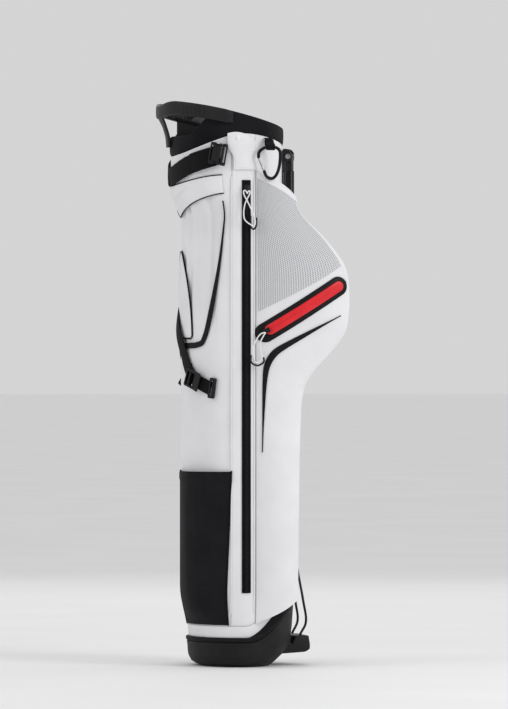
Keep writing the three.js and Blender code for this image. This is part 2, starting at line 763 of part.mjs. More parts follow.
// The stand: for each leg a bracket, a hinge pin, a knuckle, a tube and a rubber foot.
function makeLeg(side, sign) {
  const leg = new THREE.Group();
  leg.position.set(HINGE.x, sign * HINGE.y, HINGE.z);
  leg.rotation.z = degToRad(sign * HINGE.splay);
  bag.add(leg);
  const alongAxis = (geometry) => geometry.rotateX(Math.PI / 2);

  const [plate, ear, earInner, earOuter] = [-8.5, 5, 8, 10.6];
  const plan = new THREE.Shape()
    .moveTo(plate, -earOuter)
    .lineTo(ear, -earOuter)
    .lineTo(ear, -earInner)
    .lineTo(-6, -earInner)
    .lineTo(-6, earInner)
    .lineTo(ear, earInner)
    .lineTo(ear, earOuter)
    .lineTo(plate, earOuter)
    .closePath();
  const bracket = new THREE.ExtrudeGeometry(plan, { depth: 21, bevelEnabled: false });
  const bore = new THREE.CylinderGeometry(3.4, 3.4, 40, 20);
  const cut = solid(bracket.translate(0, 0, -9)).subtract(solid(bore));
  part(`${side}_leg_bracket`, geometryOf(cut), BLACK_PLASTIC, leg);
  const pin = new THREE.CylinderGeometry(3, 3, 2 * earOuter + 3, 16);
  part(`${side}_hinge_pin`, pin, STEEL, leg);

  const knuckle = new THREE.Shape()
    .moveTo(-5, -LEG.shank)
    .lineTo(5, -LEG.shank)
    .lineTo(5.4, 0)
    .absarc(0, 0, 5.4, 0, Math.PI)
    .closePath();
  knuckle.holes.push(new THREE.Path().absarc(0, 0, 3.4, 0, 2 * Math.PI, true));
  const knuckleOptions = { depth: 15, bevelEnabled: false, curveSegments: 10 };
  const block = new THREE.ExtrudeGeometry(knuckle, knuckleOptions);
  part(`${side}_leg_knuckle`, alongAxis(block).translate(0, 7.5, 0), BLACK_PLASTIC, leg);

  const { radius, wall, tube: length } = LEG;
  const tube = new THREE.LatheGeometry(
    [
      new THREE.Vector2(radius - wall, 0),
      new THREE.Vector2(radius, 0),
      new THREE.Vector2(radius, length),
      new THREE.Vector2(radius - wall, length),
      new THREE.Vector2(radius - wall, 0),
    ],
    20,
  );
  const top = -LEG.shank - GAP;
  part(`${side}_leg_tube`, alongAxis(tube).translate(0, 0, top - length), LEG_METAL, leg);

  const foot = new THREE.LatheGeometry(
    [
      [0, -24],
      [5, -23],
      [8, -19],
      [8, -8],
      [7.6, 0],
      [0, 0],
    ].map(([r, z]) => new THREE.Vector2(r, z)),
    16,
  );
  const footTop = top - length - GAP;
  part(`${side}_leg_foot`, alongAxis(foot).translate(0, 0, footTop), RUBBER, leg);
}

// The trip lever: a foot plate in the boot's toe lifts two wires, and they push the legs out.
function makeTrip() {
  const { hingeX, hingeZ, front, halfWidth } = PLATE;
  const profile = new THREE.Shape()
    .moveTo(hingeX - 5, 17)
    .lineTo(front - 8, 20)
    .lineTo(front, 26)
    .lineTo(front, 31)
    .lineTo(front - 2, 46)
    .lineTo(84, 46)
    .lineTo(80, 33)
    .lineTo(hingeX, 28)
    .lineTo(hingeX - 5, 27)
    .closePath();
  profile.holes.push(new THREE.Path().absarc(hingeX, hingeZ, 2.4, 0, 2 * Math.PI, true));
  const options = { depth: 2 * halfWidth, bevelEnabled: false, curveSegments: 8 };
  const plate = new THREE.ExtrudeGeometry(profile, options);
  part("foot_plate", plate.rotateX(Math.PI / 2).translate(0, halfWidth, 0), BLACK_PLASTIC);
  const pin = new THREE.CylinderGeometry(2, 2, 2 * halfWidth + 3, 12);
  part("plate_pin", pin.translate(hingeX, 0, hingeZ), STEEL);

  const wire = [
    [93, -28, 47],
    [102, -30, 68],
    [97, -29, 104],
    [88, -18, 170],
    [84, -12, 260],
    [82, -10, 500],
    [81, -10, 745],
  ];
  onBothSides("wire", bar(wire, 1.9, 30), STEEL);
}

makeBoot();
makeTube();
makeInside();
makeTop();
makePockets();
makeSides();
makeStrapSide();
makeHook();
makeLeg("near", -1);
makeLeg("far", 1);
makeTrip();

export default bag;
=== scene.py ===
# A light golf bag with a sprung stand: the looks, piece by piece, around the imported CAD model.
# Shapes are worked out in millimetres, and each mesh is turned to metres as it is made.
import math

import bpy
import bmesh
from mathutils import Matrix, Vector, noise
from mathutils.geometry import interpolate_bezier


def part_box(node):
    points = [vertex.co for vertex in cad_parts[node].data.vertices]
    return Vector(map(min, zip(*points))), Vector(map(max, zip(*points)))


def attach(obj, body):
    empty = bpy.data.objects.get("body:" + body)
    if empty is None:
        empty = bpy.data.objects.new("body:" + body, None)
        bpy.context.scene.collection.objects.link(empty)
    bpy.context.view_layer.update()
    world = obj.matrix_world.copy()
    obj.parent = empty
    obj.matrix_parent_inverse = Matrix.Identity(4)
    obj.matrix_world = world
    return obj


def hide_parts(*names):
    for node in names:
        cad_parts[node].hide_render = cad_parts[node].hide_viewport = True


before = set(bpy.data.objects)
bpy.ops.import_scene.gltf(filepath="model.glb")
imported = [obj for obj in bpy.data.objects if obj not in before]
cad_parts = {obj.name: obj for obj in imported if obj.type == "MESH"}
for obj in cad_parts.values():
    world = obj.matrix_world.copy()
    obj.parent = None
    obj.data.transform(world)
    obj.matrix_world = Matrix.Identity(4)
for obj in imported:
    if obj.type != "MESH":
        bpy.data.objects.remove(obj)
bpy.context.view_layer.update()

# ---------------------------------------------------------------------------------------------
# The studio: a wide pale floor under an even white sky, three large soft lights, and a very long
# lens at waist height, slightly behind the bag's near side.
MM = 0.001
CAMERA_TURN = math.radians(-12)
CAMERA_DISTANCE = 9000
CAMERA_AIM = Vector((25.6, 0, 483))
FIELD_HEIGHT = 1106  # what the image takes in at the bag, from top to bottom
SENSOR = 36

scene = bpy.context.scene
camera_data = bpy.data.cameras.new("camera")
camera_data.lens = SENSOR * CAMERA_DISTANCE / FIELD_HEIGHT
camera_data.sensor_width = SENSOR
camera = bpy.data.objects.new("camera", camera_data)
scene.collection.objects.link(camera)
towards_camera = Vector((math.sin(CAMERA_TURN), -math.cos(CAMERA_TURN), 0))
camera.location = (CAMERA_AIM + towards_camera * CAMERA_DISTANCE) * MM
camera.rotation_euler = (-towards_camera).to_track_quat("-Z", "Y").to_euler()
scene.camera = camera
scene.view_settings.view_transform = "Standard"


def area_light(name, turn, height, distance, size, power):
    data = bpy.data.lights.new(name, "AREA")
    data.size = size
    data.energy = power
    lamp = bpy.data.objects.new(name, data)
    scene.collection.objects.link(lamp)
    aim = Vector((0, 0, 0.45))
    angle = math.radians(turn)
    lamp.location = (distance * math.sin(angle), -distance * math.cos(angle), height)
    lamp.rotation_euler = (aim - lamp.location).to_track_quat("-Z", "Y").to_euler()


area_light("key_light", turn=42, height=1.7, distance=2.6, size=1.1, power=24)
area_light("fill_light", turn=-75, height=1.9, distance=3.0, size=1.2, power=9)
area_light("back_light", turn=170, height=2.0, distance=2.8, size=1.8, power=10)

world = bpy.data.worlds.new("studio")
world.use_nodes = True
world.node_tree.nodes["Background"].inputs["Color"].default_value = (1, 1, 1, 1)
world.node_tree.nodes["Background"].inputs["Strength"].default_value = 0.66
scene.world = world


def linear(hex_colour):
    """An sRGB hex colour as linear red, green, blue and alpha."""
    channels = [int(hex_colour[i : i + 2], 16) / 255 for i in (1, 3, 5)]
    return [c / 12.92 if c <= 0.04045 else ((c + 0.055) / 1.055) ** 2.4 for c in channels] + [1]


def add_node(tree, kind, links=(), **settings):
    """Adds a node. Settings name its properties or, where it has none of that name, its inputs.
    Links are (input, output socket) pairs."""
    new = tree.nodes.new(kind)
    for key, value in settings.items():
        if hasattr(new, key):
            setattr(new, key, value)
        else:
            new.inputs[key.replace("_", " ")].default_value = value
    for target, source in links:
        tree.links.new(source, new.inputs[target])
    return new


def new_material(name, colour, roughness, metallic=0.0, **sockets):
    """A material with its own shader; returns it with its tree and shader."""
    made = bpy.data.materials.new(name)
    made.use_nodes = True
    tree = made.node_tree
    shader = tree.nodes["Principled BSDF"]
    shader.inputs["Base Color"].default_value = linear(colour)
    shader.inputs["Roughness"].default_value = roughness
    shader.inputs["Metallic"].default_value = metallic
    for key, value in sockets.items():
        shader.inputs[key.replace("_", " ")].default_value = value
    return made, tree, shader


def tint(tree, shader, factor, dark, light, low=0.3, high=0.7):
    """Drives the shader's colour between two hex colours."""
    ramp = add_node(tree, "ShaderNodeValToRGB", [("Fac", factor)])
    ramp.color_ramp.elements[0].position = low
    ramp.color_ramp.elements[0].color = linear(dark)
    ramp.color_ramp.elements[1].position = high
    ramp.color_ramp.elements[1].color = linear(light)
    tree.links.new(ramp.outputs["Color"], shader.inputs["Base Color"])


def bump(tree, shader, height, depth_mm, under=None):
    """Adds relief of a real depth. Reliefs stack by passing the last one as under."""
    links = [("Height", height)]
    if under:
        links.append(("Normal", under.outputs["Normal"]))
    relief = add_node(tree, "ShaderNodeBump", links, Strength=1.0, Distance=depth_mm * MM)
    tree.links.new(relief.outputs["Normal"], shader.inputs["Normal"])
    return relief


def along_cloth(tree):
    return add_node(tree, "ShaderNodeTexCoord").outputs["UV"]


def in_space(tree):
    return add_node(tree, "ShaderNodeTexCoord").outputs["Object"]


def ridges(tree, where, pitch_mm, direction):
    """Even ridges across a coordinate, a real pitch apart."""
    scale = 2 * math.pi / 20 / (pitch_mm * MM)
    settings = {"wave_type": "BANDS", "bands_direction": direction, "Scale": scale}
    return add_node(tree, "ShaderNodeTexWave", [("Vector", where)], **settings).outputs["Fac"]


def speckle(tree, where, size_mm, detail=2.0):
    """Soft noise with blotches of about a real size."""
    settings = {"Scale": 1 / (size_mm * MM), "Detail": detail}
    return add_node(tree, "ShaderNodeTexNoise", [("Vector", where)], **settings).outputs["Fac"]


def combine(tree, operation, first, second):
    mixed = add_node(tree, "ShaderNodeMath", operation=operation)
    for socket, value in zip(mixed.inputs, (first, second)):
        if isinstance(value, (int, float)):
            socket.default_value = value
        else:
            tree.links.new(value, socket)
    return mixed.outputs[0]


def painted_floor():
    made, tree, shader = new_material("painted_floor", "#F7F7F8", 0.9)
    place = in_space(tree)
    tint(tree, shader, speckle(tree, place, 400), "#F5F5F6", "#F9F9FA")
    return made


FLOOR_HALF, FLOOR_DROP = 60, 0.0005  # metres: it reaches the horizon and stays clear of the sole
floor_signs = ((-1, -1), (1, -1), (1, 1), (-1, 1))
floor_corners = [(x * FLOOR_HALF, y * FLOOR_HALF, -FLOOR_DROP) for x, y in floor_signs]
floor_mesh = bpy.data.meshes.new("floor")
floor_mesh.from_pydata(floor_corners, [], [(0, 1, 2, 3)])
floor = bpy.data.objects.new("floor", floor_mesh)
scene.collection.objects.link(floor)
floor.data.materials.append(painted_floor())

# ---------------------------------------------------------------------------------------------
# The tube: polyester twill, white, cut in four panels and sewn into an oval tube. The rear panel
# hangs in soft upright folds under the yoke; the side columns are pulled straight by the zips.


def corners(node):
    """A CAD node's box in millimetres."""
    lowest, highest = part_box(node)
    return lowest / MM, highest / MM


COLLAR_LOW, COLLAR_HIGH = corners("collar")
_, PANEL_HIGH = corners("front_panel")
COLLAR_DEPTH = (COLLAR_HIGH.x - COLLAR_LOW.x) / 2 - 1
COLLAR_CENTRE = (COLLAR_HIGH.x + COLLAR_LOW.x) / 2
TUBE_WIDTH = COLLAR_HIGH.y - 1
TUBE_DEPTH = 80
TUBE_CENTRE = PANEL_HIGH.x - TUBE_DEPTH
FLARE = (690, 752)  # the heights between which the tube opens out to the collar
TAPER = (40, 125)  # and between which it draws in to the boot
TAPER_SHIFT, TAPER_DEPTH, TAPER_WIDTH = 4, 9, 6
SIDE_REAR, SIDE_FRONT = -30, 7
RIM_MIDDLE, RIM_SLOPE = 856, 21.5
COLLAR_SEAM, SEAM_DIP_REAR, SEAM_DIP_FRONT = 825, 33, 17
BOOT_WALL, BOOT_RISE = 38, 68
WELT_AND_BAND = 26
SIDES = (("near", 1), ("far", -1))
SHARP_EDGE = math.radians(42)
SLOTS = {
    # the record's slot named for each material; any other is black_plastic
    "white_polyester_twill": "white_fabric",
    "white_braided_cord": "white_fabric",
    "bonded_thread": "white_fabric",
    "black_polyester_twill": "black_fabric",
    "black_knit": "black_fabric",
    "black_elastic_cloth": "black_fabric",
    "pressed_black_film": "black_fabric",
    "black_polyester_webbing": "black_webbing",
    "eroded_polypropylene": "boot_plastic",
    "red_polyurethane_film": "red_coating",
    "grey_spacer_mesh": "grey_mesh",
    "tumbled_steel": "steel",
    "black_anodised_tube": "leg_metal",
}


def mix(a, b, share):
    return a + (b - a) * share


def ease(value, low, high):
    share = min(1, max(0, (value - low) / (high - low)))
    return share * share * (3 - 2 * share)


def tube_oval(z):
    """The oval's centre, half depth and half width at a height."""
    flare = ease(z, *FLARE)
    taper = 1 - ease(z, *TAPER)
    return (
        mix(TUBE_CENTRE, COLLAR_CENTRE, flare) + TAPER_SHIFT * taper,
        mix(TUBE_DEPTH, COLLAR_DEPTH, flare) - TAPER_DEPTH * taper,
        TUBE_WIDTH - TAPER_WIDTH * taper,
    )


def on_tube(angle, z, out=0.0):
    """Angle 0 faces the legs, 180 the straps and -90 the near side."""
    centre, depth, width = tube_oval(z)
    turn = math.radians(angle)
    return Vector((centre + (depth + out) * math.cos(turn), (width + out) * math.sin(turn), z))


def side_angle(x, z):
    """The angle at which the near side of the tube is at a given x."""
    centre, depth, _ = tube_oval(z)
    return -math.degrees(math.acos(max(-1, min(1, (x - centre) / depth))))


def rim_height(angle):
    return RIM_MIDDLE - RIM_SLOPE * math.cos(math.radians(angle))


def collar_bottom(angle):
    forward = math.cos(math.radians(angle))
    dip = SEAM_DIP_REAR * (-forward) ** 1.3 if forward < 0 else SEAM_DIP_FRONT * forward**2
    return COLLAR_SEAM - dip


def boot_top(angle):
    return BOOT_WALL + BOOT_RISE * max(0, math.cos(math.radians(angle))) ** 1.5


def band_top(angle):
    return boot_top(angle) + WELT_AND_BAND


def turned(angle):
    """How far an angle is from the front, from 0 to 180."""
    return abs((angle + 180) % 360 - 180)


def thicken(piece, thick, edge):
    """Gives a sheet its thickness, inwards, and softens its edges."""
    solid = piece.modifiers.new("thickness", "SOLIDIFY")
    solid.thickness = thick * MM
    solid.offset = -1
    soft = piece.modifiers.new("soft_edges", "BEVEL")
    soft.width = edge * MM
    soft.segments = 2
    soft.limit_method = "ANGLE"
    soft.angle_limit = math.radians(50)


def add_piece(name, mesh, material, body="bag", slot=None, replaces=None, thick=0, edge=0.4):
    """Adds a piece to the body it moves with. A sheet gets a thickness and soft edges, in millimetres."""
    piece = bpy.data.objects.new(name, mesh)
    scene.collection.objects.link(piece)
    mesh.shade_smooth()
    mesh.set_sharp_from_angle(angle=SHARP_EDGE)
    mesh.materials.append(material)
    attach(piece, body)
    slot or SLOTS.get(material.name, "black_plastic")
    if replaces:
        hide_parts(replaces)
    if thick:
        thicken(piece, thick, edge)
    return piece


def grid_mesh(name, place, across, up, closed=False, inside=None):
    """A smooth sheet from place(u, v) in millimetres, with a UV map in metres along the cloth."""
    columns = across if closed else across + 1
    points = [[place(i / across, j / up) for j in range(up + 1)] for i in range(columns)]
    verts = [p * MM for column in points for p in column]
    faces = []
    for i in range(across):
        a, b = i * (up + 1), (i + 1) % columns * (up + 1)
        faces += [(a + j, b + j, b + j + 1, a + j + 1) for j in range(up)]
    mesh = bpy.data.meshes.new(name)
    mesh.from_pydata(verts, [], faces)
    middle = points[columns // 2][up // 2]
    side = points[min(columns // 2 + 1, columns - 1)][up // 2] - middle
    rise = points[columns // 2][up // 2 + 1] - middle
    centre = inside or Vector((tube_oval(middle.z)[0], 0, middle.z))
    if side.cross(rise).dot(middle - centre) < 0:
        mesh.flip_normals()
    half = up // 2
    run = [0.0]
    for i in range(across):
        run.append(run[-1] + (points[(i + 1) % columns][half] - points[i][half]).length * MM)
    rise_along = [[0.0] for _ in range(columns)]
    for i in range(columns):
        for j in range(up):
            rise_along[i].append(rise_along[i][-1] + (points[i][j + 1] - points[i][j]).length * MM)
    layer = mesh.uv_layers.new(name="cloth")
    for polygon in mesh.polygons:
        ids = [mesh.loops[k].vertex_index for k in polygon.loop_indices]
        wraps = closed and max(ids) // (up + 1) - min(ids) // (up + 1) > 1
        for k, vertex in zip(polygon.loop_indices, ids):
            i, j = divmod(vertex, up + 1)
            layer.data[k].uv = (run[across] if wraps and i == 0 else run[i], rise_along[i][j])
    return mesh


def twill(name, dark, light, pitch_mm=1.3, sheen=0.1, roughness=0.85, creases=0.3, gloss=0.3):
    """Woven polyester: fine diagonal ribs, faint handling creases and slight unevenness of shade.
    The real rib is about 0.5 mm and is drawn coarser so that it shows."""
    made, tree, shader = new_material(
        name, light, roughness, Sheen_Weight=sheen, Sheen_Roughness=0.5, Specular_IOR_Level=gloss
    )
    cloth = along_cloth(tree)
    place = in_space(tree)
    tint(tree, shader, speckle(tree, place, 55, 4), dark, light)
    warp = ridges(tree, cloth, pitch_mm, "X")
    weft = ridges(tree, cloth, pitch_mm, "Y")
    weave = combine(tree, "MULTIPLY", warp, weft)
    first = bump(tree, shader, weave, 0.12)
    second = bump(tree, shader, speckle(tree, place, 60, 3), creases * 2.2, first)
    bump(tree, shader, speckle(tree, place, 6, 3), creases * 0.2, second)
    return made


WHITE_TWILL = twill("white_polyester_twill", "#E6E6E9", "#EEEEF0")


def rear_folds(angle, z):
    """Upright folds in the loose cloth under the yoke, near side and far side alike."""
    from_back = 180 - turned(angle)
    below_yoke = ease(z, 470, 670) * (1 - ease(z, 716, 750))
    pleats = sum(
        depth * math.exp(-(((from_back - at) / width) ** 2))
        for at, width, depth in ((8, 4.0, 4.0), (20, 4.0, 6.5), (36, 5.0, 2.4), (54, 3.6, 5.0))
    )
    ripple = noise.noise(Vector((angle * 0.05, z * 0.009, 3.1)))
    return -pleats * below_yoke + 0.9 * ripple - 0.6


def tube_panel(name, from_angle, to_angle, across, up, shape=None):
    """One panel, from the lower band to the collar; the edges are angles by height."""

    def place(u, v):
        z = 400
        for _ in range(3):
            angle = mix(from_angle(z), to_angle(z), u)
            z = mix(band_top(angle), collar_bottom(angle) - 0.8, v)
        return on_tube(angle, z, shape(angle, z) if shape else 0)

    mesh = grid_mesh(name + "_cloth", place, across, up)
    add_piece(name + "_cloth", mesh, WHITE_TWILL, replaces=name, thick=1.6)


SEAM = 0.4


def rear_edge(z):
    return side_angle(SIDE_REAR, z)


def front_edge(z):
    return side_angle(SIDE_FRONT, z)


def front_ripple(angle, z):
    return 0.5 * noise.noise(Vector((angle * 0.05, z * 0.01, 9.7))) - 0.5


tube_panel(
    "rear_panel", lambda z: SEAM - 360 - rear_edge(z), lambda z: rear_edge(z) - SEAM, 110, 190, rear_folds
)
tube_panel("near_side_panel", rear_edge, front_edge, 16, 120)
tube_panel("far_side_panel", lambda z: -front_edge(z), lambda z: -rear_edge(z), 16, 120)
tube_panel(
    "front_panel", lambda z: front_edge(z) + SEAM, lambda z: -front_edge(z) - SEAM, 80, 120, front_ripple
)


def spline(points, steps):
    """A smooth run through points, as a list, evenly stepped between each pair."""
    padded = [2 * points[0] - points[1], *points, 2 * points[-1] - points[-2]]
    run = []
    for before, start, end, after in zip(padded, padded[1:], padded[2:], padded[3:]):
        count = max(2, round(steps / (len(points) - 1)))
        handle_a = start + (end - before) / 6
        handle_b = end - (after - start) / 6
        part = interpolate_bezier(start, handle_a, handle_b, end, count + 1)
        run += part[:-1]
    return run + [points[-1].copy()]


def ring_mesh(name, rings, closed=False):
    """A skin over rings of points in millimetres, its ends filled unless it closes on itself."""
    sides = len(rings[0])
    verts = [p * MM for ring in rings for p in ring]
    faces = []
    for i in range(len(rings) if closed else len(rings) - 1):
        a, b = i * sides, (i + 1) % len(rings) * sides
        faces += [(a + k, a + (k + 1) % sides, b + (k + 1) % sides, b + k) for k in range(sides)]
    if not closed:
        faces.append(tuple(reversed(range(sides))))
        faces.append(tuple(range(len(verts) - sides, len(verts))))
    mesh = bpy.data.meshes.new(name)
    mesh.from_pydata(verts, [], faces)
    return mesh


def rod_mesh(name, path, radius, sides=10, closed=False):
    """A round rod along a path in millimetres; its ends are rounded over."""
    rings = []
    normal = (path[1] - path[-1 if closed else 0]).orthogonal()
    turns = [2 * math.pi * k / sides for k in range(sides)]
    for i, at in enumerate(path):
        ahead = path[(i + 1) % len(path)] if closed or i + 1 < len(path) else at
        behind = path[i - 1] if closed or i else at
        along = (ahead - behind).normalized()
        normal = (normal - along * normal.dot(along)).normalized()
        second = along.cross(normal)
        rings.append([at + (normal * math.cos(t) + second * math.sin(t)) * radius for t in turns])
    if not closed:
        for end, inner in ((0, 1), (-1, -2)):
            step = (path[end] - path[inner]).normalized() * radius
            caps = [
                [path[end] + (p - path[end]) * shrink + step * reach for p in rings[end]]
                for shrink, reach in ((0.8, 0.45), (0.35, 0.75))
            ]
            rings = [caps[1], caps[0], *rings] if end == 0 else [*rings, *caps]
    return ring_mesh(name, rings, closed)


# ---------------------------------------------------------------------------------------------
# Piping: a thin cord in a folded strip of the same white cloth, sewn into each long seam
# between the tube panels, from the lower band up to the collar.
PIPING_RADIUS = 1.0
PIPING_LOW, PIPING_HIGH, PIPING_STEP = 84, 764, 8.3
piping_count = int((PIPING_HIGH - PIPING_LOW) / PIPING_STEP) + 1
piping_heights = [PIPING_LOW + PIPING_STEP * k for k in range(piping_count)]
for side, sign in SIDES:
    for edge, x in (("rear", SIDE_REAR - 0.8), ("front", SIDE_FRONT - 2.4)):
        path = [on_tube(sign * side_angle(x, z), z, 0.5) for z in piping_heights]
        add_piece(f"{side}_{edge}_piping", rod_mesh("piping", path, PIPING_RADIUS), WHITE_TWILL)

# ---------------------------------------------------------------------------------------------
# The boot: a cup of moulded polypropylene with a fine spark-eroded grain, dark grey, matt. The
# tube is riveted into it, and the foot plate passes through a slot in its toe.
BOOT_OUTLINE = [
    # height, rear, front, half width
    (0, -58, 46, 74),
    (2, -64, 50, 80),
    (6, -71, 55, 87),
    (14, -76, 64, 94),
    (22, -77.5, 72, 96),
    (30, -78, 80, 97),
    (37, -79, 81.5, 98),
    (115, -82, 87, 99),
]


def moulded_plastic(name, dark, light, roughness, gloss, grain_mm=0.8, grain_depth=0.06, metallic=0.0):
    """Injection-moulded plastic: an eroded grain and rubbed, slightly glossier patches."""
    made, tree, shader = new_material(name, light, roughness, metallic, Specular_IOR_Level=gloss)
    place = in_space(tree)
    tint(tree, shader, speckle(tree, place, 26, 4), dark, light)
    limits = {"To_Min": roughness - 0.08, "To_Max": roughness + 0.1}
    worn = add_node(tree, "ShaderNodeMapRange", [("Value", speckle(tree, place, 14, 5))], **limits)
    tree.links.new(worn.outputs["Result"], shader.inputs["Roughness"])
    bump(tree, shader, speckle(tree, place, grain_mm, 2), grain_depth)
    return made


BOOT_PLASTIC = moulded_plastic("eroded_polypropylene", "#141315", "#201F21", 0.6, 0.22)


def on_boot(angle, z, out=0.0):
    k = next(i for i, row in enumerate(BOOT_OUTLINE) if row[0] > z)
    below, above = BOOT_OUTLINE[k - 1 : k + 1]
    share = (z - below[0]) / (above[0] - below[0])
    rear, front, width = (mix(low, high, share) for low, high in zip(below[1:], above[1:]))
    turn = math.radians(angle)
    x = (front + rear) / 2 + ((front - rear) / 2 + out) * math.cos(turn)
    return Vector((x, (width + out) * math.sin(turn), z))


def boot_mesh():
    """Rings from the middle of the sole, over the edge, up the wall, over the lip and back down."""
    wall = 3.2
    centre = Vector(((BOOT_OUTLINE[0][1] + BOOT_OUTLINE[0][2]) / 2, 0, 0))

    def sole(angle, share, z):
        return (centre + (on_boot(angle, 0) - centre) * share).to_2d().to_3d() + Vector((0, 0, z))

    def tread(angle, z):
        """Small feet moulded round the sole's edge."""
        return 0.5 * max(0, math.sin(math.radians(angle * 14))) * (1 - ease(z, 4, 12))

    rows = [lambda a, s=s: sole(a, s, 0) for s in (0.02, 0.35, 0.7, 0.93)]
    rows += [lambda a, z=z: on_boot(a, z, tread(a, z)) for z in (0, 1, 2, 4, 6, 9, 12, 15, 18, 22, 26, 30)]
    rows += [lambda a, s=s: on_boot(a, mix(30, boot_top(a) - 1, s)) for s in (0.15, 0.4, 0.7, 1)]
    rows += [lambda a: on_boot(a, boot_top(a), -0.8), lambda a: on_boot(a, boot_top(a), -wall + 0.8)]
    rows += [lambda a: on_boot(a, boot_top(a) - 1, -wall), lambda a: on_boot(a, 32, -wall)]
    rows += [lambda a: on_boot(a, 16, -wall - 2), lambda a: on_boot(a, 8, -wall - 8)]
    rows += [lambda a, s=s: sole(a, s, 8) for s in (0.5, 0.02)]
    sides = 168
    return ring_mesh("boot", [[row(360 * i / sides - 180) for i in range(sides)] for row in rows])


def finished(name, made, unit=MM):
    """A bmesh as a mesh, turned to metres."""
    bmesh.ops.scale(made, vec=(unit, unit, unit), verts=made.verts[:])
    mesh = bpy.data.meshes.new(name)
    made.to_mesh(mesh)
    made.free()
    return mesh


def round_edges(made, radius):
    whole = made.edges[:] + made.verts[:]
    settings = {"segments": 3, "profile": 0.5, "affect": "EDGES", "clamp_overlap": True}
    bmesh.ops.bevel(made, geom=whole, offset=radius, **settings)


def box_mesh(name, low, high, radius):
    """A block between two corners in millimetres, its edges rounded."""
    made = bmesh.new()
    bmesh.ops.create_cube(made, size=1)
    size = Vector(high) - Vector(low)
    middle = (Vector(high) + Vector(low)) / 2
    for vert in made.verts:
        vert.co = Vector((vert.co.x * size.x, vert.co.y * size.y, vert.co.z * size.z)) + middle
    round_edges(made, radius)
    return finished(name, made)


def cut(mesh, cutter_mesh):
    """The first mesh with the second taken out of it."""
    kept = bpy.data.objects.new("kept", mesh)
    cutter = bpy.data.objects.new("cutter", cutter_mesh)
    for each in (kept, cutter):
        scene.collection.objects.link(each)
    step = kept.modifiers.new("cut", "BOOLEAN")
    step.operation = "DIFFERENCE"
    step.solver = "EXACT"
    step.object = cutter
    done = bpy.data.meshes.new_from_object(kept.evaluated_get(bpy.context.evaluated_depsgraph_get()))
    for each in (kept, cutter):
        bpy.data.objects.remove(each)
    return done


PLATE_LOW, PLATE_HIGH = corners("foot_plate")
slot_block = box_mesh("slot", (44, PLATE_LOW.y - 2, 10), (130, PLATE_HIGH.y + 2, 58), 4)
add_piece("boot_cup", cut(boot_mesh(), slot_block), BOOT_PLASTIC, replaces="base_cup")

# ---------------------------------------------------------------------------------------------
# The welt: a half-round strip of soft black rubber that covers the boot's rim, and the white
# fabric band that is riveted above it.
SOFT_RUBBER = moulded_plastic("moulded_rubber", "#0E0D0F", "#171618", 0.7, 0.2, 0.6, 0.04)


def welt_place(u, v):
    angle = 360 * u - 180
    bulge = math.sin(math.pi * min(1, v * 1.25)) ** 0.5 if v < 0.8 else 0
    z = boot_top(angle) + 0.6 + 7 * min(1, v * 1.25)
    if v >= 0.8:
        return on_tube(angle, z, -1)
    return on_boot(angle, z, -0.6 + 1.9 * bulge)


welt = grid_mesh("welt", welt_place, 168, 15, closed=True)
add_piece("boot_welt", welt, SOFT_RUBBER, replaces="base_welt")


def band_place(u, v):
    angle = 360 * u - 180
    z = mix(boot_top(angle) + 7.6, band_top(angle) - 0.5, v)
    return on_tube(angle, z, -0.6 + 0.5 * math.sin(math.pi * v))


band = grid_mesh("band", band_place, 140, 8, closed=True)
add_piece("lower_band_cloth", band, WHITE_TWILL, replaces="lower_band", thick=1.6)

# ---------------------------------------------------------------------------------------------
# The collar: foam under black stretch knit, bound over at the rim and dipping behind the grab
# handle to leave room for a hand.
BLACK_KNIT = twill("black_knit", "#131215", "#1D1C1F", 1.8, 0.04, 0.9, gloss=0.12)
WINDOW_SILL = 822


def collar_top(angle):
    return mix(rim_height(angle), WINDOW_SILL, ease(turned(angle), 104, 150))


COLLAR_PROFILE = [
    # share of the height from the bottom edge to the rim, distance outside the tube
    (0.0, -0.6), (0.02, 0.6), (0.15, 1.6), (0.5, 1.9), (0.85, 1.5), (0.96, 0.6),
    (1.0, -1.2), (1.0, -3.4), (0.96, -4.8), (0.8, -5.2), (0.3, -5.2),
]


def collar_place(u, v):
    angle = 360 * u - 180
    at = v * (len(COLLAR_PROFILE) - 1)
    k = min(int(at), len(COLLAR_PROFILE) - 2)
    (s0, o0), (s1, o1) = COLLAR_PROFILE[k : k + 2]
    share, out = mix(s0, s1, at - k), mix(o0, o1, at - k)
    z = mix(collar_bottom(angle), collar_top(angle), share)
    soft = 0.7 * noise.noise(Vector((angle * 0.05, z * 0.03, 1.3)))
    return on_tube(angle, z, out + soft)


collar_mesh = grid_mesh("collar", collar_place, 180, 40, closed=True)
collar = add_piece("collar_padding", collar_mesh, BLACK_KNIT, replaces="collar")

# ---------------------------------------------------------------------------------------------
# The grab handle: glass-filled nylon, moulded in one piece with its rear post, with upright
# grip ribs. It is screwed to the collar at both ends.
HANDLE_NYLON = moulded_plastic("moulded_nylon", "#121113", "#1D1C1F", 0.48, 0.3, 1.0, 0.05)
HANDLE_END = 97
HANDLE_HEIGHT = 21


def handle_centre(angle):
    back = turned(angle)
    out = 6.2 + 13 * ease(back, HANDLE_END, 165)
    z = rim_height(angle) - HANDLE_HEIGHT / 2 - 8 * ease(back, 150, 180)
    return out, z


def squared(value, power):
    """Draws a sine or cosine towards a square wave, for a ring with flat sides."""
    return math.copysign(abs(value) ** power, value)


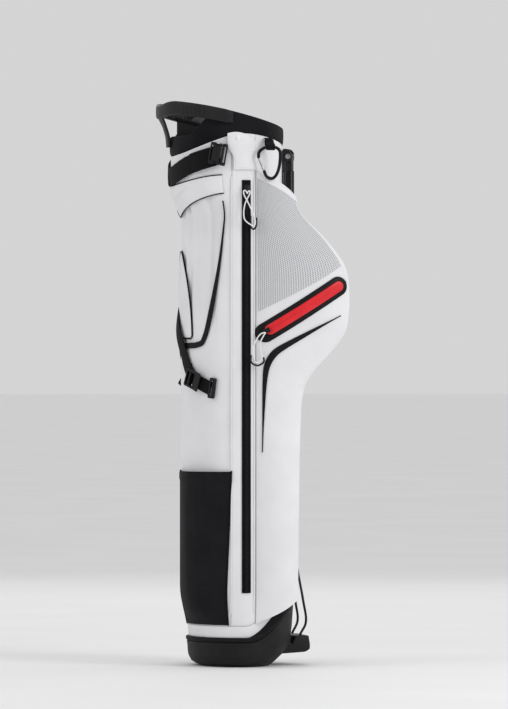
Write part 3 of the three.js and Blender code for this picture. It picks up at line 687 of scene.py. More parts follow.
def handle_mesh():
    steps, sides = 260, 28
    rings = []
    for i in range(steps + 1):
        angle = mix(HANDLE_END, 360 - HANDLE_END, i / steps)
        out, z = handle_centre(angle)
        near_end = min(i, steps - i) / steps
        size = min(1, 0.55 + 12 * near_end) ** 0.5
        back = turned(angle)
        ribbed = ease(back, 112, 118) * (1 - ease(back, 141, 147))
        rib = 0.55 * ribbed * math.sin(math.radians(angle * 95))
        ring = []
        for k in range(sides):
            turn = -2 * math.pi * (k + 1) / sides
            aside = squared(math.cos(turn), 0.62) * (3.8 * size + rib)
            point = on_tube(angle, z, out + aside)
            point.z += squared(math.sin(turn), 0.5) * HANDLE_HEIGHT / 2 * size
            ring.append(point)
        rings.append(ring)
    return ring_mesh("handle", rings)


add_piece("handle_band", handle_mesh(), HANDLE_NYLON, replaces="grab_handle")
POST_LINE = [(-122, 0, 850), (-116, 0, 836), (-111.5, 0, 820), (-110.2, 0, 805)]


def post_mesh():
    """A flat bar, wide where it meets the grip."""
    line = spline([Vector(point) for point in POST_LINE], 24)
    turns = [math.pi * k / 8 for k in range(16)]
    rings = []
    for i, at in enumerate(line):
        down = i / len(line)
        half = 11 + 5 * (1 - ease(down, 0, 0.35)) - 1.5 * ease(down, 0.85, 1)
        section = [(2.6 * squared(math.cos(t), 0.6), half * squared(math.sin(t), 0.6), 0) for t in turns]
        rings.append([at + Vector(offset) for offset in section])
    return ring_mesh("post", rings)


add_piece("handle_post", post_mesh(), HANDLE_NYLON)

# ---------------------------------------------------------------------------------------------
# The side pockets: white twill over thin foam, sewn along the side zip and the front of the tube.
# Each swells into a pouch above its middle and lies flat below it.
POCKET_OUTLINE = [
    # height, how far the front edge stands in front of the origin
    (66, 78), (318, 81), (412, 84), (446, 92), (479, 124), (513, 154), (548, 160), (583, 160),
    (615, 157), (635, 145), (674, 112), (696, 84), (728, 73), (790, 71),
]
POCKET_BOTTOM, POCKET_TOP, POCKET_LEAN = 105, 728, 38
POCKET_FRONT = -34


def pocket_reach(z):
    """The outline, with its corners softened."""
    total = 0
    offsets = (-16, -10, -5, 0, 5, 10, 16)
    for offset in offsets:
        at = min(789, max(67, z + offset))
        k = next(i for i, row in enumerate(POCKET_OUTLINE) if row[0] > at)
        (z0, x0), (z1, x1) = POCKET_OUTLINE[k - 1 : k + 1]
        total += mix(x0, x1, (at - z0) / (z1 - z0))
    return total / len(offsets)


def pocket_curve(z):
    """The face in plan at a height: start, control and end of a quadratic curve."""
    reach = pocket_reach(z)
    full = (reach - 78) / 82
    flat = ease(z, 680, POCKET_TOP + POCKET_LEAN)
    start = on_tube(side_angle(SIDE_FRONT + 1, z), z, 1.2).to_2d()
    control = Vector((mix(55, 85, full), -mix(mix(124, 141, full), 112, flat)))
    tip = Vector((reach, -mix(mix(86, 108, full), 74, flat)))
    return start, control, tip


def on_pocket(share, z, out=0.0):
    start, control, tip = pocket_curve(z)
    at = start * (1 - share) ** 2 + control * 2 * share * (1 - share) + tip * share**2
    along = ((control - start) * (1 - share) + (tip - control) * share).normalized()
    return Vector((at.x + along.y * out, at.y - along.x * out, z))


def pocket_share(x, z):
    """The share at which the face is at a given x."""
    start, control, tip = pocket_curve(z)
    a, b, c = start.x - 2 * control.x + tip.x, 2 * (control.x - start.x), start.x - x
    if abs(a) < 1e-6:
        return -c / b
    return (-b + math.sqrt(max(0, b * b - 4 * a * c))) / (2 * a)


def pocket_height(share, height):
    upper = ease(height, 640, POCKET_TOP)
    lower = 1 - ease(height, POCKET_BOTTOM, 210)
    return height + POCKET_LEAN * (1 - share) * (upper - lower)


def pocket_place(u, v):
    """Round the pocket in plan by u, and from its lower seam to its upper one by v."""
    closing = max(0, 0.02 - v, v - 0.98) / 0.02
    v = min(1, max(0, (v - 0.02) / 0.96))
    share = min(1, u / 0.62)
    height = mix(POCKET_BOTTOM, POCKET_TOP, v)
    z = pocket_height(share, height)
    flank_end = on_tube(POCKET_FRONT, z, 0.4)
    soft = 1.3 * noise.noise(Vector((u * 2.6, z * 0.011, 5.5))) * math.sin(math.pi * v) ** 0.5
    soft *= math.sin(math.pi * min(1, max(0, u)))
    if u <= 0.57:
        point = on_pocket(share, z, soft)
    elif u >= 0.67:
        point = on_pocket(1, z).lerp(flank_end, (u - 0.62) / 0.38)
    else:
        turn = (u - 0.57) / 0.1
        first, last = on_pocket(0.57 / 0.62, z), on_pocket(1, z).lerp(flank_end, 0.05 / 0.38)
        edge = on_pocket(1, z)
        point = first * (1 - turn) ** 2 + edge * 2 * turn * (1 - turn) + last * turn**2
    start_angle = side_angle(SIDE_FRONT + 1, z)
    seat = on_tube(mix(start_angle, POCKET_FRONT, u), z, 0.3)
    return point.lerp(seat, closing)


def for_side(side, mesh):
    """A mesh made for the near side, mirrored if it goes on the far one."""
    if side == "far":
        for vert in mesh.vertices:
            vert.co.y = -vert.co.y
        mesh.flip_normals()
    return mesh


for side, _ in SIDES:
    mesh = for_side(side, grid_mesh("pocket", pocket_place, 76, 230, inside=Vector((60, -60, 420))))
    pocket = add_piece(f"{side}_pocket_cloth", mesh, WHITE_TWILL, replaces=f"{side}_pocket")

# ---------------------------------------------------------------------------------------------
# The breathable panel: spacer mesh in light grey, its holes 2.8 mm apart, laid on the pocket's
# upper half and bound along its top edge with a folded white tape.
def spacer_mesh():
    made, tree, shader = new_material("grey_spacer_mesh", "#CDCED1", 0.85, Sheen_Weight=0.2)
    cloth = along_cloth(tree)
    across = ridges(tree, cloth, 2.8, "X")
    along = ridges(tree, cloth, 2.8, "Y")
    threads = combine(tree, "MAXIMUM", across, along)
    tint(tree, shader, threads, "#9C9DA1", "#D9DADC", 0.3, 0.8)
    bump(tree, shader, threads, 0.5)
    return made


def mesh_panel_place(u, v):
    share = mix(0.02, 0.9, u)
    bottom = mix(548, 628, share)
    top = pocket_height(share, POCKET_TOP) - 9
    return on_pocket(share, mix(bottom, top, v), 0.9)


panel = grid_mesh("mesh_panel", mesh_panel_place, 60, 60, inside=Vector((40, -40, 640)))
add_piece("mesh_panel", panel, spacer_mesh(), replaces="near_mesh_panel", thick=0.7)


def top_binding_place(u, v):
    z = pocket_height(u, POCKET_TOP) - mix(11, -1.5, v)
    return on_pocket(mix(0.01, 0.99, u), z, 1.5 - 1.4 * ease(v, 0.75, 1))


binding = grid_mesh("binding", top_binding_place, 40, 8, inside=Vector((40, -40, 740)))
add_piece("pocket_top_binding", binding, WHITE_TWILL, thick=0.8)

# ---------------------------------------------------------------------------------------------
# The pocket's zip: a water-resistant coil zip with a red polyurethane film over its tapes, in a
# raised surround of black rubberised film. A white cord hangs from its slider.
ZIP_LOW, ZIP_HIGH = corners("pocket_zip")
ZIP_RADIUS = 7.8
ZIP_FROM = Vector((ZIP_LOW.x + ZIP_RADIUS * 0.5 + 3, 0, ZIP_LOW.z + ZIP_RADIUS + 1))
ZIP_TO = Vector((ZIP_HIGH.x - ZIP_RADIUS * 0.5 - 2, 0, ZIP_HIGH.z - ZIP_RADIUS - 1))
RED_START = 9  # how far past the surround's lower end the coloured film begins


def capsule_place(radius, out, dome, skip=0):
    """A long patch with round ends, along the zip, its middle raised by a dome."""
    along = (ZIP_TO - ZIP_FROM).normalized()
    length = (ZIP_TO - ZIP_FROM).length - skip
    aside = Vector((-along.z, 0, along.x))

    def place(u, v):
        if u < 0.15:
            turn = math.radians(90 * u / 0.15)
            run, half = -radius * math.cos(turn), radius * math.sin(turn)
        elif u > 0.85:
            turn = math.radians(90 * (1 - u) / 0.15)
            run, half = length + radius * math.cos(turn), radius * math.sin(turn)
        else:
            run, half = length * (u - 0.15) / 0.7, radius
        half = max(half, 0.15)
        at = ZIP_FROM + along * (skip + run) + aside * half * (2 * v - 1)
        edge = (half * abs(2 * v - 1) + radius - half) / radius
        return on_pocket(pocket_share(at.x, at.z), at.z, out + dome * (1 - edge**6))

    return place


RUBBER_FILM = moulded_plastic("rubberised_film", "#0B0A0C", "#141315", 0.5, 0.2, 1.4, 0.05)
POCKET_INSIDE = Vector((60, -60, 550))
surround = grid_mesh("surround", capsule_place(15, 0.9, 1.9), 90, 24, inside=POCKET_INSIDE)
add_piece("zip_surround", surround, RUBBER_FILM, replaces="pocket_zip_surround", thick=0.9, edge=0.25)


def red_film():
    """Glossy film over woven tape: even red, a faint weave and a soft sheen from handling."""
    sockets = {"Specular_IOR_Level": 0.3, "Coat_Weight": 0.1, "Coat_Roughness": 0.25}
    made, tree, shader = new_material("red_polyurethane_film", "#DE1F2B", 0.38, **sockets)
    place = in_space(tree)
    cloth = along_cloth(tree)
    tint(tree, shader, speckle(tree, place, 30, 3), "#D81824", "#E92B33")
    first = bump(tree, shader, ridges(tree, cloth, 1.5, "X"), 0.04)
    bump(tree, shader, speckle(tree, place, 9, 3), 0.15, first)
    return made


RED_FILM = red_film()
for name, sign in (("upper", 1), ("lower", -1)):

    def half_tape(u, v, sign=sign):
        inner = capsule_place(ZIP_RADIUS, 3.0, 0.9, RED_START)
        return inner(u, 0.5 + sign * (0.006 + 0.494 * v))

    tape = grid_mesh("tape", half_tape, 80, 10, inside=POCKET_INSIDE)
    node = "pocket_zip" if sign > 0 else None
    add_piece(f"red_zip_{name}_tape", tape, RED_FILM, replaces=node, thick=0.9, edge=0.2)

# ---------------------------------------------------------------------------------------------
# The chevron trim: a strip of black twill film, heat-pressed onto the pocket. It swells to its
# corner under the zip and runs out to a point.
def along_line(line, u):
    """The point and the direction at a share of a line."""
    k = min(len(line) - 1, round(u * (len(line) - 1)))
    ahead, behind = line[min(len(line) - 1, k + 1)], line[max(0, k - 1)]
    return line[k], (ahead - behind).normalized()


CHEVRON = [
    # (forward, height) of its middle, from its upper point to its lower one
    (138, 543), (110, 529), (80, 513), (50, 496), (34, 484), (24, 466), (20.5, 440), (18.5, 390), (17, 332),
]
chevron_line = spline([Vector((x, 0, z)) for x, z in CHEVRON], 96)


def chevron_place(u, v):
    at, along = along_line(chevron_line, u)
    half = 0.7 + 4.4 * math.sin(math.pi * u) ** 1.6
    point = at + Vector((-along.z, 0, along.x)) * half * (2 * v - 1)
    return on_pocket(pocket_share(point.x, point.z), point.z, 1.3)


TRIM_FILM = moulded_plastic("pressed_black_film", "#0C0B0D", "#151416", 0.6, 0.2, 1.2, 0.03)
chevron = grid_mesh("chevron", chevron_place, len(chevron_line) - 1, 4, inside=Vector((60, -60, 480)))
add_piece("chevron_strip", chevron, TRIM_FILM, replaces="chevron_trim", thick=0.7, edge=0.15)

# ---------------------------------------------------------------------------------------------
# The side zips: black coil zips on woven polyester tape, one down each side column, with a die
# cast slider, a loop of white cord and a moulded U-shaped grip.
BLACK_TAPE = twill("black_zip_tape", "#0B0B0D", "#131215", 1.2, 0.03, 0.85, 0.1, 0.12)
COIL_NYLON = moulded_plastic("zip_coil_nylon", "#0A0A0C", "#121114", 0.45, 0.25, 0.5, 0.02)
ZIP_TOP, ZIP_BOTTOM = 752, 115
SIDE_ZIP_LOW, SIDE_ZIP_HIGH = corners("near_side_zip")
ZIP_X = (SIDE_ZIP_LOW.x + SIDE_ZIP_HIGH.x) / 2


def zip_tape_place(u, v):
    z = mix(ZIP_BOTTOM, ZIP_TOP, v)
    x = ZIP_X + mix(-7, 7, u)
    ridge = 0.5 * (1 - ease(abs(u - 0.5), 0.14, 0.2))
    return on_tube(side_angle(x, z), z, 1.5 + ridge)


def coil_mesh():
    """The teeth: a short slanting bar for each turn of the coil."""
    made = bmesh.new()
    pitch = 2.6
    for k in range(int((ZIP_TOP - ZIP_BOTTOM - 6) / pitch)):
        z = ZIP_BOTTOM + 3 + k * pitch
        for slant in (-1, 1):
            centre = on_tube(side_angle(ZIP_X + slant * 1.1, z), z, 2.3)
            for vert in bmesh.ops.create_cube(made, size=1)["verts"]:
                x, y, up = vert.co
                vert.co = Vector((x * 2.6, y, up * 1.3 + slant * x * 0.5)) + centre
    return finished("coil", made)


for side, _ in SIDES:
    tape = for_side(side, grid_mesh("tape", zip_tape_place, 14, 150))
    add_piece(f"{side}_zip_tape", tape, BLACK_TAPE, replaces=f"{side}_side_zip", thick=0.8, edge=0.2)
    add_piece(f"{side}_zip_teeth", for_side(side, coil_mesh()), COIL_NYLON)

DIE_CAST = moulded_plastic("black_plated_zinc", "#0C0C0E", "#151517", 0.4, 0.3, 0.7, 0.02)
SLIDER_LOW, SLIDER_HIGH = corners("near_side_slider")
PULL_LOW, PULL_HIGH = corners("near_side_pull")


def joined(name, meshes):
    """Several meshes as one."""
    made = bmesh.new()
    for mesh in meshes:
        made.from_mesh(mesh)
    return finished(name, made, 1)


def stand(origin, along, outward):
    """A frame with its Z along a zip and its -Y pointing out of the cloth."""
    turn = Matrix((along.cross(outward), -outward, along)).transposed().to_4x4()
    return Matrix.Translation(origin * MM) @ turn


def slider_mesh(width, length, thick):
    """A wedge-shaped body that narrows downwards, with a bridge over it for the cord."""
    half = length / 2
    body = box_mesh("body", (-width / 2, -thick, -half), (width / 2, 0, half), 1.1)
    for vert in body.vertices:
        vert.co.x *= 1 - 0.3 * (1 - ease(vert.co.z / MM, -half, half - 4))
    rise = [(-0.6, 0), (-0.45, 2), (0, 2.6), (0.5, 2), (0.75, 0)]
    line = spline([Vector((0, 0.8 - thick - out, at * half)) for at, out in rise], 20)
    return joined("slider", [body, rod_mesh("bridge", line, 1.1, 8)])


def grip_mesh(low, high):
    """The U-shaped grip that the cord ends in, between two corners."""
    y = (low.y + high.y) / 2
    middle = (low.x + high.x) / 2
    left = [(low.x, high.z - 1), (low.x + 0.4, low.z + 5)]
    right = [(high.x - 0.4, low.z + 5), (high.x, high.z - 4)]
    line = [*left, (middle, low.z), *right]
    return rod_mesh("grip", spline([Vector((x, y, z)) for x, z in line], 32), 1.5)


WHITE_CORD = twill("white_braided_cord", "#E4E4E5", "#F4F4F4", 1.0, creases=0.1)
CORD_DIAMETER = 2.0


def pull_cord(name, points, body):
    """The loop of cord between a slider's bridge and its grip, in front of the cloth."""
    route = spline([Vector(point) for point in points], 110)
    cord = add_piece(name, rod_mesh("cord", route, CORD_DIAMETER / 2), WHITE_CORD, body)
    length = sum((after - before).length for before, after in zip(route, route[1:]))


SIDE_LOOP = [
    # down from the slider's bridge, over its top and across, round the grip, back up and across
    (-8.4, -109.6, 731), (-11.4, -110.4, 735.6), (-14.4, -110.2, 734), (-13.2, -110.6, 728),
    (-9, -111.4, 720), (-4.4, -111.6, 711), (0, -111.4, 701), (3.4, -111, 692), (3.8, -110.4, 684),
    (0.8, -110.2, 680.6), (-3, -110.6, 683), (-8, -111, 686), (-13, -110.6, 692), (-14, -110.2, 703),
    (-12, -110.4, 715), (-8, -110.6, 724), (-4.4, -110.4, 731), (-4.8, -110.2, 735), (-7.2, -109.8, 734),
    (-7.8, -109.6, 731.4),
]
slider_seat = Vector((ZIP_X, SLIDER_HIGH.y, (SLIDER_LOW.z + SLIDER_HIGH.z) / 2))
for side, sign in SIDES:
    body = f"{side}_slider"
    slider = slider_mesh(10, 20, 3.6)
    slider.transform(stand(slider_seat, Vector((0, 0, 1)), Vector((0, -1, 0))))
    grip = grip_mesh(Vector((-3, PULL_LOW.y, PULL_LOW.z)), Vector((6, PULL_HIGH.y, PULL_HIGH.z)))
    add_piece(f"{side}_zip_slider", for_side(side, slider), DIE_CAST, body, replaces=f"{side}_side_slider")
    grip = for_side(side, grip)
    held = add_piece(f"{side}_zip_grip", grip, HANDLE_NYLON, body, replaces=f"{side}_side_pull")
    pull_cord(f"{side}_pull_cord", [(x, sign * y, z) for x, y, z in SIDE_LOOP], body)

# The coloured zip's own slider waits at its lower end; its grip hangs over the seam.
POCKET_SLIDER_LOW, POCKET_SLIDER_HIGH = corners("pocket_slider")
POCKET_PULL_LOW, POCKET_PULL_HIGH = corners("pocket_pull")
SLIDE = Vector((0.8288, -0.2678, 0.4913))
slider = slider_mesh(8.5, 13, 3.4)
facing = Vector((SLIDE.y, -SLIDE.x, 0)).normalized()
seat = (POCKET_SLIDER_LOW + POCKET_SLIDER_HIGH) / 2 - facing * 1.9
slider.transform(stand(seat, SLIDE, facing))
add_piece("pocket_zip_slider", slider, DIE_CAST, "pocket_slider", replaces="pocket_slider")
grip = grip_mesh(POCKET_PULL_LOW, POCKET_PULL_HIGH)
held = add_piece("pocket_zip_grip", grip, HANDLE_NYLON, "pocket_slider", replaces="pocket_pull")
depth = (POCKET_PULL_LOW.y + POCKET_PULL_HIGH.y) / 2
POCKET_LOOP = [
    (16.5, depth - 8.0, 517), (10, depth - 7.4, 514), (4, depth - 5, 505), (0, depth - 2, 492),
    (1, depth - 0.4, 480), (4, depth - 0.2, 471.5), (10, depth - 0.2, 471), (13.5, depth - 0.6, 478),
    (12, depth - 2.6, 490), (10, depth - 5, 500), (14, depth - 7.6, 510), (18, depth - 8.4, 516.5),
]
pull_cord("pocket_pull_cord", POCKET_LOOP, "pocket_slider")

# ---------------------------------------------------------------------------------------------
# The side tabs: folded white twill with a rounded top, box-stitched and riveted over the collar's
# lower edge. They take the pull of the straps.
def tab_place(u, v):
    """Its rear edge leans back towards the top, where it meets the strap's buckle."""
    z = 790
    for _ in range(3):
        rear = SIDE_REAR + 2 - 9 * ease(z, 786, 806)
        angle = mix(side_angle(rear, z), side_angle(SIDE_FRONT + 3, z), u)
        z = mix(768, 826 - 0.03 * (angle + 94) ** 2, v)
    return on_tube(angle, z, 3.1)


def brushed_steel(name, colour, roughness):
    """Drawn and tumbled steel: bright, with fine lines along it."""
    made, tree, shader = new_material(name, colour, roughness, 1.0)
    place = in_space(tree)
    tint(tree, shader, speckle(tree, place, 3, 4), colour, "#BDBDC0")
    bump(tree, shader, speckle(tree, place, 0.6, 2), 0.015)
    return made


BRIGHT_STEEL = brushed_steel("tumbled_steel", "#8F8F93", 0.3)


def lathe_mesh(name, profile, sides=28):
    """A turned piece on the Z axis from (radius, height) pairs, closed at both ends."""
    turns = [2 * math.pi * k / sides for k in range(sides)]
    rings = [[Vector((r * math.cos(t), r * math.sin(t), z)) for t in turns] for r, z in profile]
    return ring_mesh(name, rings)


def dome_mesh(name, radius, height):
    """A shallow dome on the XY plane, for rivet heads."""
    climbs = [math.radians(88.2 * k / 5) for k in range(6)]
    return lathe_mesh(name, [(radius * math.cos(t), height * math.sin(t)) for t in climbs], 24)


def tube_matrix(angle, z, out, lean=0.0):
    """A frame on the tube's skin: X along it, Y up, Z outwards, turned by a lean in degrees."""
    outward = (on_tube(angle, z, 100) - on_tube(angle, z)).normalized()
    up = Vector((0, 0, 1))
    turn = Matrix((up.cross(outward), up, outward)).transposed().to_4x4()
    spin = Matrix.Rotation(math.radians(lean), 4, "Z")
    return Matrix.Translation(on_tube(angle, z, out) * MM) @ turn @ spin


THREAD = twill("bonded_thread", "#C9CACD", "#E4E4E6", 0.8, creases=0.05)


def stitches(name, line, length=3.0, gap=1.3):
    """A row of stitches along points in millimetres, as one piece."""
    rods = []
    travelled, last = 0.0, line[0]
    for point in line[1:]:
        travelled += (point - last).length
        if travelled >= length + gap:
            start = point - (point - last).normalized() * length
            rods.append(rod_mesh("stitch", [start, (start + point) / 2, point], 0.32, 5))
            travelled = 0.0
        last = point
    add_piece(name, joined(name, rods), THREAD)


def tab_row(from_u, from_v, to_u, to_v, first):
    """Points along one straight row of stitching."""
    shares = [k / 40 for k in range(first, 41 - first)]
    return [tab_place(mix(from_u, to_u, share), mix(from_v, to_v, share)) for share in shares]


outline = tab_row(0.08, 1, 0.08, 0, 2) + tab_row(0.08, 0.05, 0.92, 0.05, 1) + tab_row(0.92, 0, 0.92, 1, 2)
for side, sign in SIDES:
    tab = for_side(side, grid_mesh("tab", tab_place, 28, 34))
    add_piece(f"{side}_tab", tab, WHITE_TWILL, replaces=f"{side}_side_tab", thick=1.6)
    rivet = dome_mesh("rivet", 4.2, 1.7)
    rivet.transform(tube_matrix(sign * -92, 817, 3.1))
    add_piece(f"{side}_tab_rivet", rivet, WHITE_CORD)
    stitches(f"{side}_tab_stitches", [Vector((p.x, sign * (p.y - 0.1), p.z)) for p in outline])

# ---------------------------------------------------------------------------------------------
# The yoke: a second layer of white twill round the back, under the collar, with black piping in
# both edges, which also paints the dark lines of shade along them. The shoulder straps are sewn in behind
# it.
MEAN_RADIUS = 88


def yoke_edge(share):
    """The height of its bottom (share 0) or top (share 1) edge, by angle."""

    def height(angle):
        back = max(0, (turned(angle) - 105) / 75)
        return mix(732 - 36 * back**1.5, 760 - 15 * ease(back, 0, 1), share)

    return height


def yoke_place(u, v):
    angle = mix(-252, -108, u)
    z = mix(yoke_edge(0)(angle), yoke_edge(1)(angle), v)
    crease_at = mix(742, 722, ease(turned(angle), 140, 185))
    crease = 2.4 * ease(turned(angle), 138, 156) * math.exp(-(((z - crease_at) / 2.0) ** 2))
    fullness = 1.6 * math.sin(math.pi * v) ** 0.6 * math.sin(math.pi * u) ** 0.2
    return on_tube(angle, z, 1.2 + fullness - crease)


yoke = grid_mesh("yoke", yoke_place, 110, 36)
add_piece("yoke_cloth", yoke, WHITE_TWILL, replaces="yoke_band", thick=0.9)
BLACK_TWILL = twill("black_polyester_twill", "#0C0B0E", "#151417", 1.2, 0.03, creases=0.2, gloss=0.12)
# The black piping also stands in as painted shade: the dark lines along the yoke's upper and lower edges.
for share, name in ((0, "lower"), (1, "upper")):
    line = [on_tube(angle, yoke_edge(share)(angle), 1.4) for angle in range(-252, -107, 2)]
    add_piece(f"yoke_{name}_piping", rod_mesh("piping", line, 0.9), BLACK_TWILL)


def ribbon_mesh(name, stations, width, out, steps=60, across=8):
    """A flat band laid on the tube along stations of (angle, height)."""
    line = spline([Vector((math.radians(angle) * MEAN_RADIUS, z, 0)) for angle, z in stations], steps)

    def place(u, v):
        at, along = along_line(line, u)
        wide = width(u) if callable(width) else width
        point = at + Vector((-along.y, along.x, 0)) * (v - 0.5) * wide
        lift = out(u, v) if callable(out) else out
        return on_tube(math.degrees(point.x / MEAN_RADIUS), point.y, lift)

    return grid_mesh(name, place, len(line) - 1, across)


# ---------------------------------------------------------------------------------------------
# The rear trim: the same black film as the chevron, pressed on and run round the back
# in one deep U that starts and ends under the yoke.
REAR_HALF = [(-111, 720), (-118, 630), (-128, 552), (-136, 510), (-146, 498), (-180, 497)]
rear_line = REAR_HALF + [(-360 - angle, z) for angle, z in reversed(REAR_HALF[:-1])]


def rear_width(u):
    return 2.2 + 6.6 * ease(0.5 - abs(u - 0.5), 0, 0.24)


rear_strip = ribbon_mesh("rear_trim", rear_line, rear_width, 1.7, 160, 4)
add_piece("rear_trim_strip", rear_strip, TRIM_FILM, replaces="rear_trim", thick=0.8, edge=0.15)

# ---------------------------------------------------------------------------------------------
# The hip pad: an arch of foam under white twill, quilted in upright channels, with black piping
# round it. It lies against the golfer's back when the bag is carried.
PAD_LOW, _ = corners("hip_pad")


def hip_pad_place(u, v):
    """An arch: widest at its foot and closing to a rounded top."""
    half = 26 * (1 - min(v, 0.995) ** 2) ** 0.8
    groove = sum(math.exp(-(((u - at) / 0.018) ** 2)) for at in (0.34, 0.66))
    edge = max(0, math.sin(math.pi * u) * math.sin(math.pi * min(1, v * 1.02))) ** 0.3
    angle = -180 + half * (2 * u - 1)
    return on_tube(angle, mix(PAD_LOW.z, 646, v), 0.3 + 3.6 * edge - 1.7 * groove * edge)


hip_mesh = grid_mesh("hip_pad", hip_pad_place, 96, 90)
hip = add_piece("hip_pad_cloth", hip_mesh, WHITE_TWILL, replaces="hip_pad")
border = [hip_pad_place(0, v / 40) for v in range(1, 40)]
border += [hip_pad_place(1, 1 - v / 40) for v in range(1, 40)]
border += [hip_pad_place(1 - u / 24, 0) for u in range(1, 24)]
hip_piping = rod_mesh("piping", [point + Vector((-0.6, 0, 0)) for point in border], 1.3, closed=True)
add_piece("hip_pad_piping", hip_piping, BLACK_TWILL)


# ---------------------------------------------------------------------------------------------
# The webbing: 25 mm polyester, black, ribbed. The upper straps run round the back from the pads to
# the side tabs; the lower ones pull on adjusters low on the back.
def webbing(name, dark, light):
    """Ribbed across its length, with a herringbone down its middle."""
    made, tree, shader = new_material(name, light, 0.8, Sheen_Weight=0.03, Specular_IOR_Level=0.15)
    cloth = along_cloth(tree)
    place = in_space(tree)
    ribs = ridges(tree, cloth, 2.0, "X")
    rows = ridges(tree, cloth, 3.2, "Y")
    tint(tree, shader, combine(tree, "MULTIPLY", ribs, rows), dark, light, 0.1, 0.8)
    first = bump(tree, shader, ribs, 0.3)
    second = bump(tree, shader, rows, 0.25, first)
    bump(tree, shader, speckle(tree, place, 9, 3), 0.15, second)
    return made


WEBBING = webbing("black_polyester_webbing", "#0B0A0C", "#1A191C")
UPPER_LINE = [(-179.6, 758), (-170, 761), (-160, 766), (-139, 778), (-110, 791)]
for side, sign in SIDES:
    stations = [(sign * angle, z) for angle, z in UPPER_LINE]
    strap = ribbon_mesh("strap", stations, 29, lambda u, v: 4.0 + 0.5 * math.sin(math.pi * v), 70, 10)
    add_piece(f"{side}_upper_webbing", strap, WEBBING, replaces=f"{side}_upper_strap", thick=1.6)
    doubled = ribbon_mesh(
        "strap", stations[3:], 30, lambda u, v: 6.0 + 1.4 * math.sin(math.pi * min(1, u * 1.3)), 50, 10
    )
    add_piece(f"{side}_upper_fold", doubled, WEBBING, thick=1.5)

LOWER_LINES = {
    "near": [(-190, 552), (-180, 527), (-171, 500), (-164, 472), (-150, 447), (-128, 430)],
    "far": [(150, 500), (138, 466), (126, 438), (112, 425)],
}
for side, stations in LOWER_LINES.items():
    slack = 4.5 if side == "near" else 0

    def lower_out(u, v, slack=slack):
        """The near strap hangs a little free between the pad and its adjuster."""
        return 3.6 + 0.4 * math.sin(math.pi * v) + slack * math.sin(math.pi * min(1, u * 1.8))

    strap = ribbon_mesh("strap", stations, 21, lower_out, 100, 10)
    add_piece(f"{side}_lower_webbing", strap, WEBBING, replaces=f"{side}_lower_strap", thick=1.5)

# ---------------------------------------------------------------------------------------------
# The buckles: moulded acetal. A side-release buckle joins each upper strap to its tab, and a
# ladder-lock adjuster shortens each lower one, which ends in a moulded anchor.
ACETAL = moulded_plastic("black_acetal", "#0D0C0E", "#161517", 0.42, 0.3, 0.9, 0.03)


def plate_with_windows(low, high, windows, radius):
    """A rounded plate with rounded windows cut through it."""
    plate = box_mesh("plate", low, high, radius)
    for x0, x1, y0, y1 in windows:
        plate = cut(plate, box_mesh("window", (x0, y0, low[2] - 5), (x1, y1, high[2] + 5), 0.6))
    return plate


def side_release_buckle():
    """The socket with its two side windows, and the plug whose prongs show in them."""
    socket = plate_with_windows(
        (-13.5, -17, 0), (4, 17, 7), [(-11.5, -9, -12, 12), (-5, 1, 12.4, 20), (-5, 1, -20, -12.4)], 2.2
    )
    plug = plate_with_windows((4.8, -17, 0.4), (13.5, 17, 6.4), [(8.6, 11.2, -12, 12)], 2)
    prongs = [box_mesh("prong", (-6, y - 1.7, 1.8), (6, y + 1.7, 5.2), 1.2) for y in (-13.8, 13.8)]
    return joined("buckle", [socket, plug, *prongs])


def ladder_lock():
    """A frame with two windows, a ribbed bar between them and a lifted lip."""
    windows = [(-12.5, -7, -10.5, 10.5), (-2.5, 4, -10.5, 10.5)]
    body = plate_with_windows((-16, -14, 0), (13, 14, 5), windows, 1.8)
    lip = box_mesh("lip", (10, -14, 3), (17, 14, 6.5), 1.5)
    bar = box_mesh("bar", (-6.5, -11, 3.4), (-3, 11, 7), 1.2)
    return joined("adjuster", [body, lip, bar])


for side, _ in SIDES:
    buckle = side_release_buckle()
    buckle.transform(tube_matrix(-111, 792, 5.6, -10))
    add_piece(f"{side}_release_buckle", for_side(side, buckle), ACETAL, replaces=f"{side}_upper_buckle")
for side, angle, z, lean in (("near", -148, 444, -20), ("far", 126, 438, 40)):
    lock = ladder_lock()
    lock.transform(tube_matrix(angle, z, 5.4, lean))
    add_piece(f"{side}_adjuster", lock, ACETAL, replaces=f"{side}_lower_buckle")
for side, angle, z, lean in (("near", -125.5, 431, -8), ("far", 112, 425, 25)):
    anchor = plate_with_windows((-6.5, -16, 0), (5, 16, 4.5), [(-3.5, -0.5, -11.5, 11.5)], 1.8)
    anchor.transform(tube_matrix(angle, z, 1.6, lean))
    add_piece(f"{side}_strap_anchor", anchor, ACETAL)

# ---------------------------------------------------------------------------------------------
# The drink pouch: black elastic mesh lined with stretch cloth, open at the top, with a folded hem
# that holds it against the tube.
POUCH_LOW, POUCH_HIGH = corners("drink_pouch")


def elastic_cloth():
    sockets = {"Sheen_Weight": 0.04, "Specular_IOR_Level": 0.12}
    made, tree, shader = new_material("black_elastic_cloth", "#19181B", 0.85, **sockets)
    cloth = along_cloth(tree)
    place = in_space(tree)
    knit = combine(tree, "MULTIPLY", ridges(tree, cloth, 1.6, "X"), ridges(tree, cloth, 2.2, "Y"))
    worn = combine(tree, "ADD", knit, speckle(tree, place, 40, 3))
    tint(tree, shader, worn, "#121113", "#1E1D20", 0.4, 1.3)
    bump(tree, shader, knit, 0.12)
    return made


ELASTIC = elastic_cloth()


